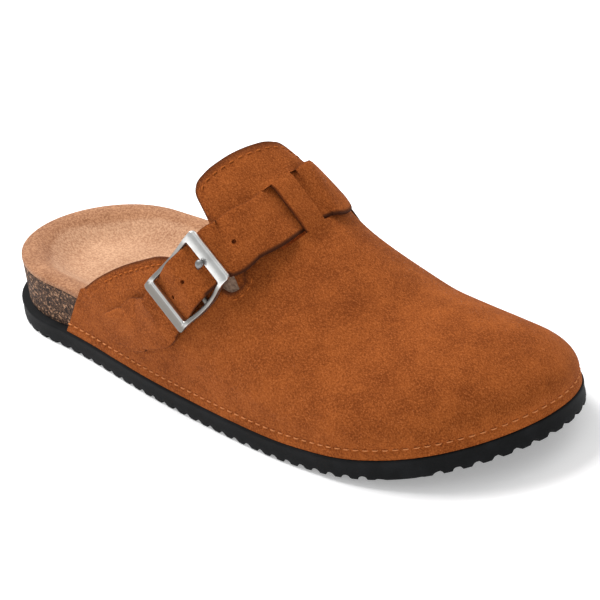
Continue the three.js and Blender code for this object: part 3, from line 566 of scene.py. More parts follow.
CREASES = [
    {"x": 34, "y": -30, "turn": 1.15, "long": 26, "wide": 6, "deep": .25},
    {"x": 50, "y": -8, "turn": 1.5, "long": 30, "wide": 7, "deep": .22},
    {"x": 66, "y": 12, "turn": 1.7, "long": 26, "wide": 8, "deep": .22},
    {"x": 18, "y": -40, "turn": .5, "long": 18, "wide": 5, "deep": .2},
    {"x": 88, "y": -16, "turn": .9, "long": 24, "wide": 9, "deep": -.2},
    {"x": -20, "y": -36, "turn": .2, "long": 24, "wide": 7, "deep": -.2},
    {"x": 60, "y": 34, "turn": 2.2, "long": 24, "wide": 7, "deep": .22},
]


def creases(p):
    """Soft troughs and ridges over the vamp: each a bell across times a bell along, in plan."""
    total = np.zeros(p.shape[:-1])
    for c in CREASES:
        dx = p[..., 0] - c["x"]
        dy = p[..., 1] - c["y"]
        along = dx * np.cos(c["turn"]) + dy * np.sin(c["turn"])
        over = dy * np.cos(c["turn"]) - dx * np.sin(c["turn"])
        total -= c["deep"] * np.exp(-((over / c["wide"]) ** 2) - (along / c["long"]) ** 2)
    return total


def away_from(p, line):
    """Distance of each point from the nearest point of a line."""
    flat = p.reshape(-1, 3)
    near = [np.sqrt(((part[:, None] - line[None]) ** 2).sum(-1)).min(1) for part in np.array_split(flat, 40)]
    return np.concatenate(near).reshape(p.shape[:-1])


def relief(p, rim):
    """Height of the leather over the last: the band under the seam stands out, the seam and the
    row inside the edge sink in, the bridge arches up, and the creases come on top."""
    high = p[..., 2] - ground(p[..., 0]) - OUTSOLE_HEIGHT
    seam = np.exp(-(((high - SEAM_HEIGHT) / ROW_WIDTH) ** 2))
    band = 0.25 * np.clip((3.4 - high) / 1.6, 0, 1) - 0.38 * seam
    row = -0.22 * np.exp(-(((rim - ROW_INSET) / ROW_WIDTH) ** 2)) + 0.1 * np.clip((2.2 - rim) / 1.2, 0, 1)
    side = side_of(p[..., 0], p[..., 1])[0]
    front = (p[..., 0] - BRIDGE["x"]) * 0.71 - (p[..., 2] - BRIDGE["z"]) * 0.70
    arch = np.clip((0.17 - np.abs(side - BRIDGE["side"])) / 0.08, 0, 1)
    arch = arch * np.clip((14 - np.abs(front)) / 6.5, 0, 1)
    arch = BRIDGE["rise"] * arch * arch * (3 - 2 * arch)
    return arch + band + row + creases(p) * np.clip((high - 5) / 8, 0, 1) * np.clip((rim - 2) / 6, 0, 1)


def upper_sheet(columns, roof_rows):
    """The skin as a grid: up the wall from the sole's edge, then over the roof to the collar."""
    foot = np.array(COLLAR["foot"])
    stops = np.interp(np.linspace(foot[0], foot[-1], columns), foot, COLLAR["index"])
    at = {k: read(COLLAR, k, stops, "index") for k in ("foot", "crown", "place", "side")}
    top = skin_point(at["place"], at["side"])
    crown_x, crown_y = outline(at["crown"], UPPER_INSET)
    wall = side_of(crown_x, crown_y)[2]
    low = BAND_HEIGHTS[:, None] * np.minimum(1, wall / 7.2)
    high = low[-1] + np.linspace(0, 1, 7)[1:, None] * (wall - low[-1])
    heights = np.vstack([low, high])
    t = heights / wall
    x, y = outline(at["foot"] + t * (at["crown"] - at["foot"]), UPPER_INSET)
    upright = np.stack([x, y, ground(x) + OUTSOLE_HEIGHT + heights], -1)
    t = (np.arange(1, roof_rows + 1)[:, None] / roof_rows) ** 1.6
    x = crown_x + t * (top[:, 0] - crown_x)
    y = crown_y + t * (top[:, 1] - crown_y)
    roof = np.stack([x, y, skin_height(x, y)], -1)
    points = np.vstack([upright, roof])
    out = unit(slope_at(points))
    out[: len(upright), :, 2] = 0
    return points, unit(out), top


def finish_suede(name, light, dark, cut):
    """Rust suede: cloudy mottle, a nap of short fibres, dark cut edges, partly worn and partly painted
    shade, and a soft sheen.
    """
    f = Finish(name)
    cloud = f.noise(26, 5, 0.62)
    patch = f.noise(95, 4, 0.6, f.stretch((1, 1, 1.4), (0.3, 0.2, 0.5)))
    fibre = f.noise(1300, 4, 0.65, f.stretch((1, 1.7, 1.2), (0.4, 0, 0.7)))
    grain = f.noise(3200, 2, 0.6)
    tone = cloud * 0.45 + patch * 0.6 + fibre * 1.3 + grain * 0.5 - 0.92
    colour = f.mix(tone.step(0.15, 0.9), dark, light)
    rubbed = f.mix((fibre * 0.6 + grain * 0.4).step(0.5, 0.7) * 0.5, colour, paint(192, 114, 64))
    # The cut mark paints the dark cut colour: worn edges, and painted shade at the window sides and the
    # strap's front edge.
    edged = f.mix(f.attribute("cut"), rubbed, cut)
    height = fibre + grain * 0.5 + patch * 1.2
    return f.close(edged, 0.93, height, 0.00035, 0.85, Sheen_Weight=0.08, Sheen_Roughness=0.45,
                   Sheen_Tint=paint(220, 150, 100), Specular_IOR_Level=0.08)


LIGHT_RUST = paint(172, 93, 41)
DARK_RUST = paint(114, 54, 18)
CUT_EDGE = paint(60, 30, 20)


def wall_piece(name, sheet, out, thickness, round_by=0.45):
    """A closed wall: the sheet, the same sheet drawn in by the thickness, and rounded rims."""
    inner = sheet - out * thickness
    middle = (sheet + inner) / 2
    top = middle[-1] + round_by * unit(sheet[-1] - sheet[-2])
    bottom = middle[0] + 0.2 * unit(sheet[0] - sheet[1])
    loop = np.concatenate([sheet, top[None], inner[::-1], bottom[None]])
    mids = np.concatenate([middle, top[None], middle[::-1], bottom[None]])
    first = mids[:, 0] + round_by * unit(loop[:, 0] - loop[:, 1])
    last = mids[:, -1] + round_by * unit(loop[:, -1] - loop[:, -2])
    return surface(name, np.concatenate([first[:, None], loop, last[:, None]], 1), wrap_rows=True)


def cut(piece, cutters):
    """Cuts closed pieces out of another, and drops them."""
    for cutter in cutters:
        step = piece.modifiers.new("cut", "BOOLEAN")
        step.operation = "DIFFERENCE"
        step.object = cutter
        step.solver = "EXACT"
    graph = bpy.context.evaluated_depsgraph_get()
    mesh = bpy.data.meshes.new_from_object(piece.evaluated_get(graph))
    piece.modifiers.clear()
    piece.data = mesh
    for cutter in cutters:
        bpy.data.objects.remove(cutter)
    work = bmesh.new()
    work.from_mesh(mesh)
    bmesh.ops.remove_doubles(work, verts=work.verts, dist=2e-6)
    work.to_mesh(mesh)
    work.free()
    mesh.polygons.foreach_set("use_smooth", np.ones(len(mesh.polygons), bool))


def window_box(window):
    """Where a window is: its middle with y left out, its normal, its way to the front, how far it
    reaches that way, and the y of its two ends."""
    near = skin_point(window["place"], window["bridge"])
    far = skin_point(window["place"], window["lip"])
    out = slope_at(skin_point(window["place"], (window["bridge"] + window["lip"]) / 2))
    out = unit(out * [1, 0, 1])
    front = np.array([out[2], 0, -out[0]])
    return (near + far) / 2 * [1, 0, 1], out, front, window["half"] + SLIT_CLEARANCE, near[1], far[1]


def beside_window(p, window):
    """True for points on the cut sides of a window."""
    middle, _, front, reach, near, far = window_box(window)
    over = np.abs((p - middle) @ front) - reach
    past = np.abs(p[:, 1] - (near + far) / 2) - abs(far - near) / 2
    return np.abs(np.maximum(over, past)) < 0.1


def window_cutter(number, window):
    """A box through the wall, seen straight on from the skin's normal with its y left out."""
    middle, out, front, reach, near, far = window_box(window)
    corners = [(-reach, near), (reach, near), (reach, far), (-reach, far)]
    rows = []
    for depth in WINDOW_DEPTHS:
        rows.append([middle + front * u + np.array([0, v, 0]) + out * depth for u, v in corners])
    rows = [[np.mean(rows[0], 0)] * 4] + rows + [[np.mean(rows[1], 0)] * 4]
    return surface(f"window_{number}", np.array(rows), wrap_columns=True)


sheet, out, collar = upper_sheet(columns=470, roof_rows=58)
rim = away_from(sheet, collar)
upper = wall_piece("upper_leather", sheet + out * relief(sheet, rim)[..., None], out, WALL)
cut(upper, [window_cutter(n, w) for n, w in enumerate(WINDOWS)])
sharpen(upper, 40)
co = places_of(upper)
collar_mid = collar - out[-1] * WALL / 2
skin_gap = dot(co - foot_of(co), unit(slope_at(foot_of(co))))[:, 0]
near_rim = away_from(co, collar_mid)
depth = relief(co, near_rim) - skin_gap
# The cut sides of the windows are painted dark as painted shade; the dark band along the collar edge is the
# worn edge.
window_side_shade = np.clip((depth - 0.35) / 0.4, 0, 1) * np.any([beside_window(co, w) for w in WINDOWS], 0)
mark(upper, "cut", np.clip(window_side_shade + 0.75 * np.clip((1.5 - near_rim) / 0.5, 0, 1), 0, 1))
settle(upper, finish_suede("upper_suede", LIGHT_RUST, DARK_RUST, CUT_EDGE), "upper")

# Notch lining. A patch of grey-brown backing leather behind the notch under the strap, glued
# to the inside of the upper.
LINING_PLACE = (.538, .604)
LINING_SIDE = (-.82, -.60)
LINING_THICKNESS = 0.7


def finish_lining():
    """Grey-brown backing leather with a short matted nap."""
    f = Finish("notch_lining")
    felt = f.noise(900, 4, 0.65)
    colour = f.mix(felt.step(0.3, 0.7), paint(124, 100, 84), paint(178, 150, 130))
    return f.close(colour, 0.95, felt, 0.0003, 0.8, Specular_IOR_Level=0.1)


patch_place = np.linspace(*LINING_PLACE, 26)[:, None]
patch_side = np.linspace(*LINING_SIDE, 26)[None]
patch = skin_point(patch_place, patch_side)
patch_out = unit(slope_at(patch))
lining = wall_piece("notch_lining", patch - patch_out * (WALL - 0.5), patch_out, LINING_THICKNESS, 0.2)
lining.data.materials.append(finish_lining())
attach(lining, "root")

# Buckle frame. One die-cast frame of satin nickel: two flat bars across the strap, two thin
# sides that dip between them, the outer one a little bowed, and a pin let into the sides at their
# lowest point.
BUCKLE_WIDTH = 21.9
BUCKLE_LENGTH = 33.1
BAR_WIDTH = 5.2
SIDE_WIDTH = 1.7
SIDE_BOW = 0.8
BOW_HALF = 11.8
PIN_SHORT = 1.0
PIN_RADIUS = 1.0
PIN_DEPTH = 3.2
BUCKLE_SEAT = {"place": .5152, "side": -.8157, "lift": 6.66}
BUCKLE_ACROSS = [.762, -.604, -.233]
BUCKLE_ALONG = [.631, .773, .060]
SIDE_LINE = {
    "along": [0, 4.5, 11.35, 15.3, 17],
    "middle": [-3.25, -2.75, -1.2, -.8, -.8],
    "thick": [2.7, 2.6, 2.2, 1.6, 1.6],
}

seat = skin_point(BUCKLE_SEAT["place"], BUCKLE_SEAT["side"])
seat_out = unit(slope_at(seat))
seat_forward = unit(np.array([1.0, 0, 0]) - seat_out * seat_out[0])
seat_up = -np.cross(seat_forward, seat_out)
on_seat = np.stack([seat_forward, seat_up, seat_out])
across = unit(np.array(BUCKLE_ACROSS) @ on_seat)
along = np.array(BUCKLE_ALONG) @ on_seat
along = unit(along - across * along.dot(across))
face = np.cross(across, along)
buckle_centre = seat + seat_out * BUCKLE_SEAT["lift"]


def on_buckle(a, b, n):
    """Point of the buckle: a across the strap, b along it, n out of its face."""
    a, b, n = np.broadcast_arrays(a, b, n)
    return buckle_centre + a[..., None] * across + b[..., None] * along + n[..., None] * face


def rounded_frame(half_a, half_b, radius, side_points, corner_points):
    """A rectangle with round corners, walked once round with the same points on every size."""
    a, b = [], []
    for turn in range(4):
        angle = np.pi / 2 * (turn + np.linspace(0, 1, corner_points))
        corner_a = (half_a - radius) * (1 if turn in (0, 3) else -1)
        corner_b = (half_b - radius) * (1 if turn in (0, 1) else -1)
        a.append(corner_a + radius * np.cos(angle))
        b.append(corner_b + radius * np.sin(angle))
    loop_a, loop_b = [], []
    for turn in range(4):
        loop_a.append(a[turn])
        loop_b.append(b[turn])
        t = np.linspace(0, 1, side_points + 2)[1:-1]
        nxt = (turn + 1) % 4
        loop_a.append(a[turn][-1] + t * (a[nxt][0] - a[turn][-1]))
        loop_b.append(b[turn][-1] + t * (b[nxt][0] - b[turn][-1]))
    return np.concatenate(loop_a), np.concatenate(loop_b)


def finish_nickel(name, low, high, rough):
    """Satin nickel: fine brushed grain and faint clouding; where the satin mark is set it is rougher and
    painted darker grey, as painted shade.
    """
    f = Finish(name)
    grain = f.noise(900, 3, 0.6, f.stretch((1, 6, 1), (0.5, 0.3, 0.2)))
    cloud = f.noise(180, 3)
    satin_and_shade = f.attribute("satin_and_shade")
    # Where the mark is set the colour turns to a darker grey: painted shade.
    colour = f.mix(satin_and_shade, f.mix(cloud.step(0.3, 0.7), low, high), paint(126, 122, 116))
    rough = rough + grain * 0.08 + satin_and_shade * 0.14
    return f.close(colour, rough, grain + cloud * 0.5, 0.00002, 0.15, Metallic=1.0)


half_a = BUCKLE_WIDTH / 2
half_b = BUCKLE_LENGTH / 2
bar_edge = half_b - BAR_WIDTH
outer_a, outer_b = rounded_frame(half_a, half_b, 1.5, 26, 9)
inner_a, inner_b = rounded_frame(half_a - SIDE_WIDTH, bar_edge, 0.7, 26, 9)
turns = 2 * np.pi * np.arange(36) / 36
flat = np.abs(np.cos(turns)) ** 0.34 * np.sign(np.cos(turns))
tall = np.abs(np.sin(turns)) ** 0.5 * np.sign(np.sin(turns))
a = (outer_a + inner_a) / 2 + flat[:, None] * (outer_a - inner_a) / 2
b = (outer_b + inner_b) / 2 + flat[:, None] * (outer_b - inner_b) / 2
a = a + SIDE_BOW * np.clip(1 - (b / BOW_HALF) ** 2, 0, 1) ** 1.5 * (a > 0)
middle = read(SIDE_LINE, "middle", np.abs(b), "along")
thick = read(SIDE_LINE, "thick", np.abs(b), "along")
bent = -0.75 * np.clip((np.abs(b) - (half_b - 2.4)) / 2.4, 0, 1) ** 2
sloped = np.clip((-b - (bar_edge + 0.9)) / (BAR_WIDTH - 0.9), 0, 1)
bent = np.where(b < 0, -(0.6 + 0.3 * tall[:, None]) * sloped, bent)
n = middle + tall[:, None] * thick / 2 + bent
frame_piece = surface("buckle_frame_nickel", on_buckle(a, b, n), wrap_rows=True, wrap_columns=True)
# The side bars and the outer part of the lower bar are marked rougher and painted darker grey, as painted
# shade and reflection.
co = (places_of(frame_piece) - buckle_centre) @ along
dull_and_shaded = 0.75 * np.clip((bar_edge - np.abs(co)) / 1.5, 0, 1)
mark(frame_piece, "satin_and_shade", np.maximum(dull_and_shaded, np.clip((-co - (bar_edge + 0.8)) / 0.4, 0, 1)))
nickel = finish_nickel("buckle_metal", paint(206, 206, 204), paint(228, 228, 226), 0.28)
settle(frame_piece, nickel, "buckle_frame")

turn = 2 * np.pi * np.arange(24) / 24
far = half_a - PIN_SHORT
near = far + SIDE_BOW / 2
profile = [(-far, 0), (-far, .8), (-far + .25, 1), (0, 1), (near - .25, 1), (near, .8), (near, 0)]
at, thick = np.array(profile).T[..., None]
pin_rows = on_buckle(at, PIN_RADIUS * thick * np.cos(turn), -PIN_DEPTH + PIN_RADIUS * thick * np.sin(turn))
pin = surface("buckle_pin", pin_rows, wrap_columns=True)
sharpen(pin, 50)
# The whole pin is painted dark grey as painted shade.
mark(pin, "satin_and_shade", np.ones(len(pin.data.vertices)))
settle(pin, nickel)

# Strap. A band of the same suede: from the inner side it dives under the bridge, comes up over
# the notch, goes through the buckle and lies down on the wing with its rounded tip.
STRAP_THICKNESS = 1.9
STRAP_TIP = [
    (.316, -1.285, 1.3, 0, 4.9), (.324, -1.255, 1.3, 0, 5.5), (.342, -1.180, 1.3, 0, 6.6),
    (.366, -1.060, 1.35, 0, 8.0), (.390, -.995, 1.5, -.01, 9.2), (.414, -.982, 1.8, -.04, 9.7)]
STRAP_BUCKLE = [
    (-26, -5.35, 9.6), (-21.5, -4.15, 9.3), (-17, -3.4, 9.1), (-14, -3.1, 9), (-11, -2.95, 9.1),
    (-7.5, -1.4, 9.1), (0, .95, 9.1), (7.5, -1.4, 9.1), (11, -2.95, 9.1), (14, -3.1, 9), (17, -3.6, 9.4)]
STRAP_INNER = [
    (.560, -.606, 5.4, -.11, 10.5), (.567, -.520, 3.8, -.03, 10.4), (.576, -.430, 2.5, .03, 10.3),
    (.581, -.360, 1.7, .05, 10.4), (.583, -.305, .9, .03, 10.4), (.584, -.250, -.4, 0, 10.4),
    (.585, -.195, -1.5, 0, 10.4), (.586, -.110, -1.8, 0, 10.4), (.587, -.020, -1.6, 0, 10.4),
    (.588, .055, -.6, 0, 10.2), (.587, .120, 1.0, 0, 10.8), (.586, .185, 1.9, 0, 11.5),
    (.583, .280, 1.7, 0, 11.5), (.568, .400, 1.35, 0, 10.3), (.546, .540, 1.2, 0, 9.4),
    (.530, .680, 1.2, 0, 9.3), (.527, .810, 1.35, 0, 11), (.519, .910, 1.45, 0, 11.5),
    (.514, .980, 1.5, 0, 11.8), (.511, 1.060, 1.5, 0, 12), (.505, 1.500, 1.4, 0, 12)]
HOLE_ALONG = [-9.0, 0.8, 8.2, 14.9, 22.6]
HOLE_RADIUS = 0.85
TIP_ROUND = 3.6


def lift_of(p):
    """Height over the skin."""
    foot = foot_of(p)
    return dot(p - foot, unit(slope_at(foot)))[..., 0]


def buckle_rows(table):
    """Rows of the strap where it passes the buckle, from its own long section."""
    b, n, half = np.array(table, float).T
    p = on_buckle(0.0, b, n)
    foot = foot_of(p)
    lean = (lift_of(p + across * half[:, None]) - lift_of(p - across * half[:, None])) / (2 * half)
    return np.stack([share(foot[:, 0]), side_of(foot[:, 0], foot[:, 1])[0], lift_of(p), lean, half], -1)


strap_rows = np.concatenate([np.array(STRAP_TIP), buckle_rows(STRAP_BUCKLE), np.array(STRAP_INNER)])
STRAP = dict(zip(("place", "side", "lift", "lean", "half"), strap_rows.T))
STRAP["index"] = np.arange(len(strap_rows))


def strap_frame(index):
    """Middle of the strap at a row number, with the skin's normal, lift, lean and half width."""
    at = {k: read(STRAP, k, index, "index") for k in ("place", "side", "lift", "lean", "half")}
    base = skin_point(at["place"], at["side"])
    out = unit(slope_at(base))
    return base + out * at["lift"][..., None], out, at


def strap_band(index, shares, half_scale, low, high):
    """Points across the strap at each row number: the skin's foot below each share of the width,
    raised by the lift and the lean, then by heights from low to high over the middle."""
    centre, out, at = strap_frame(index)
    back = strap_frame(np.maximum(index - 0.25, 0))[0]
    ahead = strap_frame(np.minimum(index + 0.25, len(strap_rows) - 1))[0]
    side = unit(np.cross(unit(ahead - back), out))
    w = np.asarray(shares)[None] * (at["half"] * half_scale)[:, None]
    foot = foot_of(centre[:, None] + side[:, None] * w[..., None])
    normal = unit(slope_at(foot))
    middle = foot + normal * (at["lift"][:, None] + at["lean"][:, None] * w)[..., None]
    up = unit(normal - side[:, None] * at["lean"][:, None, None])
    return middle + up * low, middle + up * high


fine = np.linspace(0, len(strap_rows) - 1, 900)
centres = strap_frame(fine)[0]
run = np.concatenate([[0], np.cumsum(np.linalg.norm(np.diff(centres, axis=0), axis=1))])
tip_stations = [0, .12, .35, .7, 1.1, 1.6, 2.2, 2.8, 3.5]
stations = np.concatenate([tip_stations, np.arange(4.2, run[-1], 0.8), [run[-1]]])
strap_index = np.interp(stations, run, fine)
tip = np.clip(1 - (stations + 0.02) / TIP_ROUND, 0, 1)
narrow = 0.34 + 0.66 * np.sqrt(1 - tip * tip)
across_shares = np.sin(np.linspace(-np.pi / 2, np.pi / 2, 19)) * 0.985
round_off = 0.5 * np.abs(across_shares) ** 14
half_thick = STRAP_THICKNESS / 2 - 0.05
thin = half_thick * (1 - round_off)[None, :, None]
low, high = strap_band(strap_index, across_shares, narrow, -thin, thin)
edge = strap_band(strap_index, [-1.0, 1.0], narrow, 0, 0)[0]
loop = np.concatenate([high, edge[:, 1:], low[:, ::-1], edge[:, :1]], 1)
start = (high[0] + low[0]) / 2
cap_first = np.concatenate([start, edge[0, 1:], start[::-1], edge[0, :1]])
end = (high[-1] + low[-1]) / 2
cap_last = np.concatenate([end, edge[-1, 1:], end[::-1], edge[-1, :1]])
tip_way = unit(centres[0] - centres[8])
loop = np.concatenate([(cap_first + tip_way * 0.35)[None], loop, cap_last[None]])
strap = surface("strap_leather", loop, wrap_columns=True)


def hole_cutter(number, b):
    """A round punch through the strap, straight along its normal."""
    centre, out, _ = strap_frame(np.array([along_index(b)]))
    u = unit(np.cross(out[0], [0.0, 0, 1]))
    v = np.cross(out[0], u)
    disc = HOLE_RADIUS * (np.cos(turn)[:, None] * u + np.sin(turn)[:, None] * v)
    rows = [centre[0] + disc * r + out[0] * h for h, r in ((-3, 0), (-3, 1), (3, 1), (3, 0))]
    return surface(f"hole_{number}", np.array(rows), wrap_columns=True)


turn = 2 * np.pi * np.arange(16) / 16
usable = slice(int(np.argmin(np.abs(fine - 3))), int(np.argmin(np.abs(fine - 21))))
centres_near, fine_near = centres[usable], fine[usable]


def along_index(b):
    """Row number of the strap where it crosses a place along the buckle."""
    return np.interp(b, (centres_near - buckle_centre) @ along, fine_near)


cut(strap, [hole_cutter(n, b) for n, b in enumerate(HOLE_ALONG)])
sharpen(strap, 48)
co = places_of(strap)
edge_line = np.concatenate([edge[:, 0], edge[:, 1], edge[0]])
worn = 0.8 * np.clip((0.8 - away_from(co, edge_line)) / 0.35, 0, 1)
# Along the front edge near the buckle the strap is painted darker as painted shade of the gap over the vamp;
# the other edges are darkened as worn cut edges.
near_buckle = np.abs((edge[:, 0] - buckle_centre) @ along - 27) < 24
shaded_front_edge = max((edge[near_buckle, 0], edge[near_buckle, 1]), key=lambda side: side[:, 0].mean())
mark(strap, "cut", np.maximum(worn, np.clip((1.5 - away_from(co, shaded_front_edge)) / 0.5, 0, 1)))
settle(strap, finish_suede("strap_suede", LIGHT_RUST, DARK_RUST, paint(66, 34, 20)), "strap")

# Prong. A nickel wire bent round the pin and up through a hole of the strap. It ends in a small
# round head against the upper bar.
PRONG_LINE = {
    "step": [0, 1, 2, 3, 4, 5, 6, 7, 8],
    "along": [1.2, 4.4, 7.0, 8.8, 9.5, 9.9, 10.2, 10.4, 10.5],
    "out": [-3.3, -3.2, -2.4, -.6, .1, .5, .7, .7, .7],
    "radius": [.8, .8, .8, .8, .75, .6, .6, .5, .05],
}
HEAD = {"half": 1.5, "along": 11.2, "long": 1.7, "out": 1.1, "thick": 1.1}
EYE = {"half": 1.15, "radius": 1.75, "wall": .42}
turn = 2 * np.pi * np.arange(18) / 18
s = np.linspace(0, 8, 60)
b, n, r = (read(PRONG_LINE, k, s, "step") for k in ("along", "out", "radius"))
r[-1] = 0.0
way = unit(np.stack([np.gradient(b), np.gradient(n)], -1))
rows = on_buckle(r[:, None] * np.cos(turn), b[:, None] - r[:, None] * np.sin(turn) * way[:, 1:],
                 n[:, None] + r[:, None] * np.sin(turn) * way[:, :1])
rows = np.concatenate([on_buckle(0.0, b[:1], n[:1])[None].repeat(18, 1), rows])
prong = surface("prong_wire", rows, wrap_columns=True)
# The prong's nickel is painted darker grey than the frame's, as painted shade.
prong_nickel = finish_nickel("prong_metal", paint(112, 112, 112), paint(150, 150, 150), 0.5)
settle(prong, prong_nickel, "buckle_prong")
lap = np.linspace(0, np.pi, 17)[:, None]
a = HEAD["half"] * np.sin(lap) * np.cos(turn)
b = HEAD["along"] + HEAD["long"] * np.sin(lap) * np.sin(turn)
head = on_buckle(a, b, HEAD["out"] + HEAD["thick"] * np.cos(lap))
head_piece = surface("prong_head", head, wrap_columns=True)
settle(head_piece, prong_nickel)
minor = 2 * np.pi * np.arange(14) / 14
major = 2 * np.pi * np.arange(32) / 32
tube = EYE["radius"] + EYE["wall"] * np.cos(minor)[:, None]
eye_side = EYE["half"] * np.sin(minor)[:, None]
eye = on_buckle(eye_side, tube * np.cos(major), -PIN_DEPTH + tube * np.sin(major))
eye_piece = surface("prong_eye", eye, wrap_rows=True, wrap_columns=True)
settle(eye_piece, prong_nickel)

# Tab. A narrow strip of suede folded round the pin and sewn flat on the wing under the strap.
TAB_WIDTH = 8.0
TAB = {
    "step": [0, 1, 2, 3, 4, 5],
    "index": [12, 11.8, 11.2, 10.2, 8.7, 7.2],
    "over": [3, 3, 2, 1.5, 1.5, 1.5],
}
FOLD_RADII = (1.4, 2.4)
FOLD_SIDES = (-1.35, 1.3)
FOLD_SHIFTS = (-2.7, 2.7)
s = np.linspace(0, 5, 50)
tab_shares = np.linspace(-1, 1, 9)
centre, out, at = strap_frame(read(TAB, "index", s, "step"))
ahead = strap_frame(read(TAB, "index", s, "step") - 0.3)[0]
side = unit(np.cross(unit(ahead - centre), out))
foot = foot_of(centre[:, None] + side[:, None] * (tab_shares * TAB_WIDTH / 2)[None, :, None])
normal = unit(slope_at(foot))
low = foot + normal * 0.4
high = foot + normal * (read(TAB, "over", s, "step")[:, None, None] - 0.1)
loop = np.concatenate([high, low[:, ::-1]], 1)
ends = [np.concatenate([(high[k] + low[k]) / 2, ((high[k] + low[k]) / 2)[::-1]]) for k in (0, -1)]
tab = surface("tab_leather", np.concatenate([ends[0][None], loop, ends[1][None]]), wrap_columns=True)
sharpen(tab, 48)
tab_suede = finish_suede("tab_suede", paint(160, 84, 44), paint(100, 44, 20), CUT_EDGE)
settle(tab, tab_suede, "buckle_tab")
angle = np.radians(np.linspace(-170, 110, 40))
for number, shift in enumerate(FOLD_SHIFTS):
    profile = [(FOLD_SIDES[0], FOLD_RADII[0]), (FOLD_SIDES[0], FOLD_RADII[1])]
    profile += [(FOLD_SIDES[1], FOLD_RADII[1]), (FOLD_SIDES[1], FOLD_RADII[0])]
    rows = [on_buckle(shift + a, r * np.cos(angle), -PIN_DEPTH + r * np.sin(angle)) for a, r in profile]
    rows = np.array(rows)
    first, last = (rows[:, [k]].mean(0, keepdims=True).repeat(4, 0) for k in (0, -1))
    fold_piece = surface(f"tab_fold_{number}", np.concatenate([first, rows, last], 1), wrap_rows=True)
    sharpen(fold_piece, 48)
    settle(fold_piece, tab_suede)

# Stitching. Rust thread, in a row round the foot of the upper, a row inside the edge of the
# tongue and the wings, and a few short stitches below the notch.
STITCH_PITCH = 3.9
STITCH_LENGTH = 2.5
THREAD_RADIUS = 0.29


def finish_thread(name, low, high):
    """Twisted thread: fine slanted ply over a lighter rust."""
    f = Finish(name)
    ply = f.noise(2400, 2)
    return f.close(f.mix(ply, low, high), 0.9, ply, 0.0001, 0.6,
                   Specular_IOR_Level=0.05)


def stitch_row(name, points, normals, pitch, length, sink, material):
    """Short threads along a line, each a thin rounded body that dips in at both ends."""
    far = np.concatenate([[0], np.cumsum(np.linalg.norm(np.diff(points, axis=0), axis=1))])
    count = int(far[-1] / pitch)
    starts = (np.arange(count) + 0.2) * pitch
    u = np.linspace(0, 1, 7)
    s = starts[:, None] + u[None] * length
    at = np.stack([np.interp(s, far, points[:, k]) for k in range(3)], -1)
    up = unit(np.stack([np.interp(s, far, normals[:, k]) for k in range(3)], -1))
    way = unit(np.gradient(at, axis=1))
    beside = np.cross(way, up)
    arch = np.sqrt(np.clip(1 - (2 * u - 1) ** 4, 0, 1))
    height = sink + THREAD_RADIUS * (1.7 * arch - 1.0)
    fat = THREAD_RADIUS * (0.35 + 0.65 * arch)
    turn = 2 * np.pi * np.arange(6) / 6
    raised = height[:, None, None] + (fat[:, None] * np.sin(turn))[..., None]
    rings = at[:, :, None] + up[:, :, None] * raised[None]
    rings = rings + beside[:, :, None] * (fat[:, None] * np.cos(turn))[None, ..., None]
    caps = rings[:, [0, -1]].mean(2, keepdims=True).repeat(6, 2)
    body = np.concatenate([caps[:, :1], rings, caps[:, 1:]], 1)
    rows_here, columns_here = body.shape[1:3]
    index = np.arange(count * rows_here * columns_here).reshape(count, rows_here, columns_here)
    index = np.concatenate([index, index[:, :, :1]], 2)
    corners = [index[:, :-1, :-1], index[:, :-1, 1:], index[:, 1:, 1:], index[:, 1:, :-1]]
    faces = np.stack(corners, -1).reshape(-1, 4)
    mesh = bpy.data.meshes.new(name)
    mesh.from_pydata(body.reshape(-1, 3) * MM, [], faces.tolist())
    tidy_mesh(mesh)
    piece = bpy.data.objects.new(name, mesh)
    bpy.context.scene.collection.objects.link(piece)
    piece.data.materials.append(material)
    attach(piece, "root")
    return piece


def inside_edge(first, last, inset):
    """A line on the skin at a fixed distance inside the collar, between two of its rows."""
    index = np.linspace(first, last, 240)
    at = {k: read(COLLAR, k, index, "index") for k in ("crown", "place", "side")}
    top = skin_point(at["place"], at["side"])
    way = unit(np.gradient(top, axis=0))
    normal = unit(slope_at(top))
    inward = np.cross(way, normal)
    x, y = outline(at["crown"], UPPER_INSET)
    crown = np.stack([x, y, skin_height(x, y)], -1)
    inward = inward * np.sign(dot(inward, crown - top))
    foot = foot_of(top + inward * inset)
    return foot, unit(slope_at(foot))


thread = finish_thread("thread", paint(140, 66, 24), paint(204, 120, 58))
seam_thread = finish_thread("seam_thread", paint(170, 92, 46), paint(228, 154, 98))
x, y = outline(np.linspace(0.285, 1.69, 700), UPPER_INSET)
seam = np.stack([x, y, ground(x) + OUTSOLE_HEIGHT + SEAM_HEIGHT], -1)
seam_out = unit(slope_at(seam) * [1, 1, 0])
stitch_row("seam_stitches", seam, seam_out, STITCH_PITCH, STITCH_LENGTH, -0.26, seam_thread)
for name, first, last, inset, closeness in (
        ("tongue", 13.2, 22.8, ROW_INSET, 0.9), ("notch", 7.6, 10.4, 2.5, 0.8),
        ("wing", 1.0, 5.2, 2.6, 0.9), ("inner", 25.5, 31.5, 2.6, 0.9)):
    line, normal = inside_edge(first, last, inset)
    pitch = STITCH_PITCH * closeness
    stitch_row(name + "_stitches", line, normal, pitch, STITCH_LENGTH * 0.9, -0.16, thread)

# Floor, light and camera. A pale studio sweep under soft light from above and behind the heel,
# seen at the photograph's angle with a long lens.
CAMERA = {"azimuth": .88652, "elevation": .48204, "roll": -.17444, "focal": 4151.06, "distance": 1475.88}
CAMERA_TARGET = np.array([9.36768, 3.31309, 28.48312])


def finish_floor():
    """Plain pale paper."""
    f = Finish("floor_paper")
    paper = f.mix(f.noise(3, 2), (0.84, 0.84, 0.845, 1), (0.86, 0.86, 0.865, 1))
    return f.close(paper, 0.9, Emission_Color=(1, 1, 1, 1), Emission_Strength=0.3)


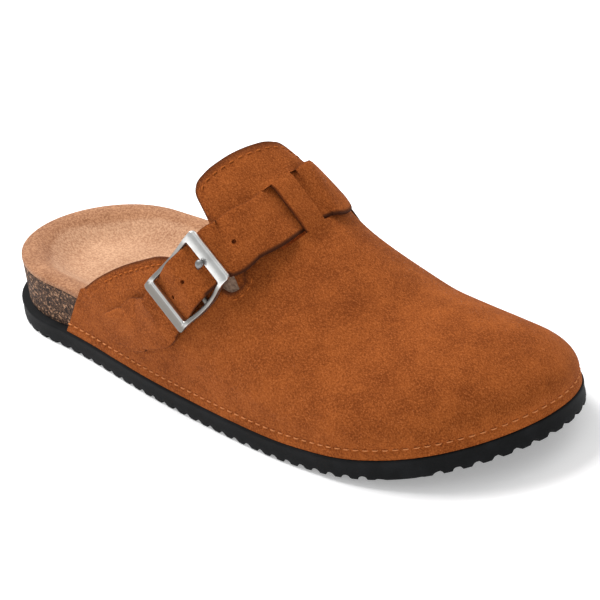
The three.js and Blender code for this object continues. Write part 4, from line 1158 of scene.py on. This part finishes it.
floor_mesh = bpy.data.meshes.new("floor")
size = 3.0
corners = [(-size, -size, 0), (size, -size, 0), (size, size, 0), (-size, size, 0)]
floor_mesh.from_pydata(corners, [], [(0, 1, 2, 3)])
floor = bpy.data.objects.new("floor", floor_mesh)
bpy.context.scene.collection.objects.link(floor)
floor.data.materials.append(finish_floor())


def soft_light(name, position, size, power, colour=(1, 1, 1)):
    """A square soft light that faces the middle of the shoe."""
    data = bpy.data.lights.new(name, "AREA")
    data.size = size
    data.energy = power
    data.color = colour
    lamp = bpy.data.objects.new(name, data)
    lamp.location = position
    lamp.rotation_euler = (Vector((0, 0, 0.03)) - Vector(position)).to_track_quat("-Z", "Y").to_euler()
    bpy.context.scene.collection.objects.link(lamp)


soft_light("key", (-0.55, -0.05, 1.05), 0.6, 15)
soft_light("fill", (0.9, -0.9, 0.9), 1.2, 2.2)
soft_light("back", (0.2, 1.0, 0.8), 1.0, 3)
world = bpy.data.worlds.new("studio")
bpy.context.scene.world = world
world.use_nodes = True
world.node_tree.nodes["Background"].inputs[0].default_value = (1, 1, 1, 1)
world.node_tree.nodes["Background"].inputs[1].default_value = 0.5
bpy.context.scene.view_settings.view_transform = "Standard"

a, e, roll = (CAMERA[k] for k in ("azimuth", "elevation", "roll"))
back = np.array([np.sin(a) * np.cos(e), -np.cos(a) * np.cos(e), np.sin(e)])
right = np.array([np.cos(a), np.sin(a), 0])
up = np.cross(back, right)
turned_right = np.cos(roll) * right + np.sin(roll) * up
turned_up = -np.sin(roll) * right + np.cos(roll) * up
camera_data = bpy.data.cameras.new("photo_view")
camera_data.sensor_width = 36
camera_data.lens = CAMERA["focal"] * 36 / 600
camera_data.clip_start = 0.05
camera_data.clip_end = 30
camera = bpy.data.objects.new("photo_view", camera_data)
bpy.context.scene.collection.objects.link(camera)
pose = Matrix([list(row) for row in np.stack([turned_right, turned_up, back], 1)]).to_4x4()
pose.translation = Vector((CAMERA_TARGET + back * CAMERA["distance"]) * MM)
camera.matrix_world = pose
bpy.context.scene.camera = camera
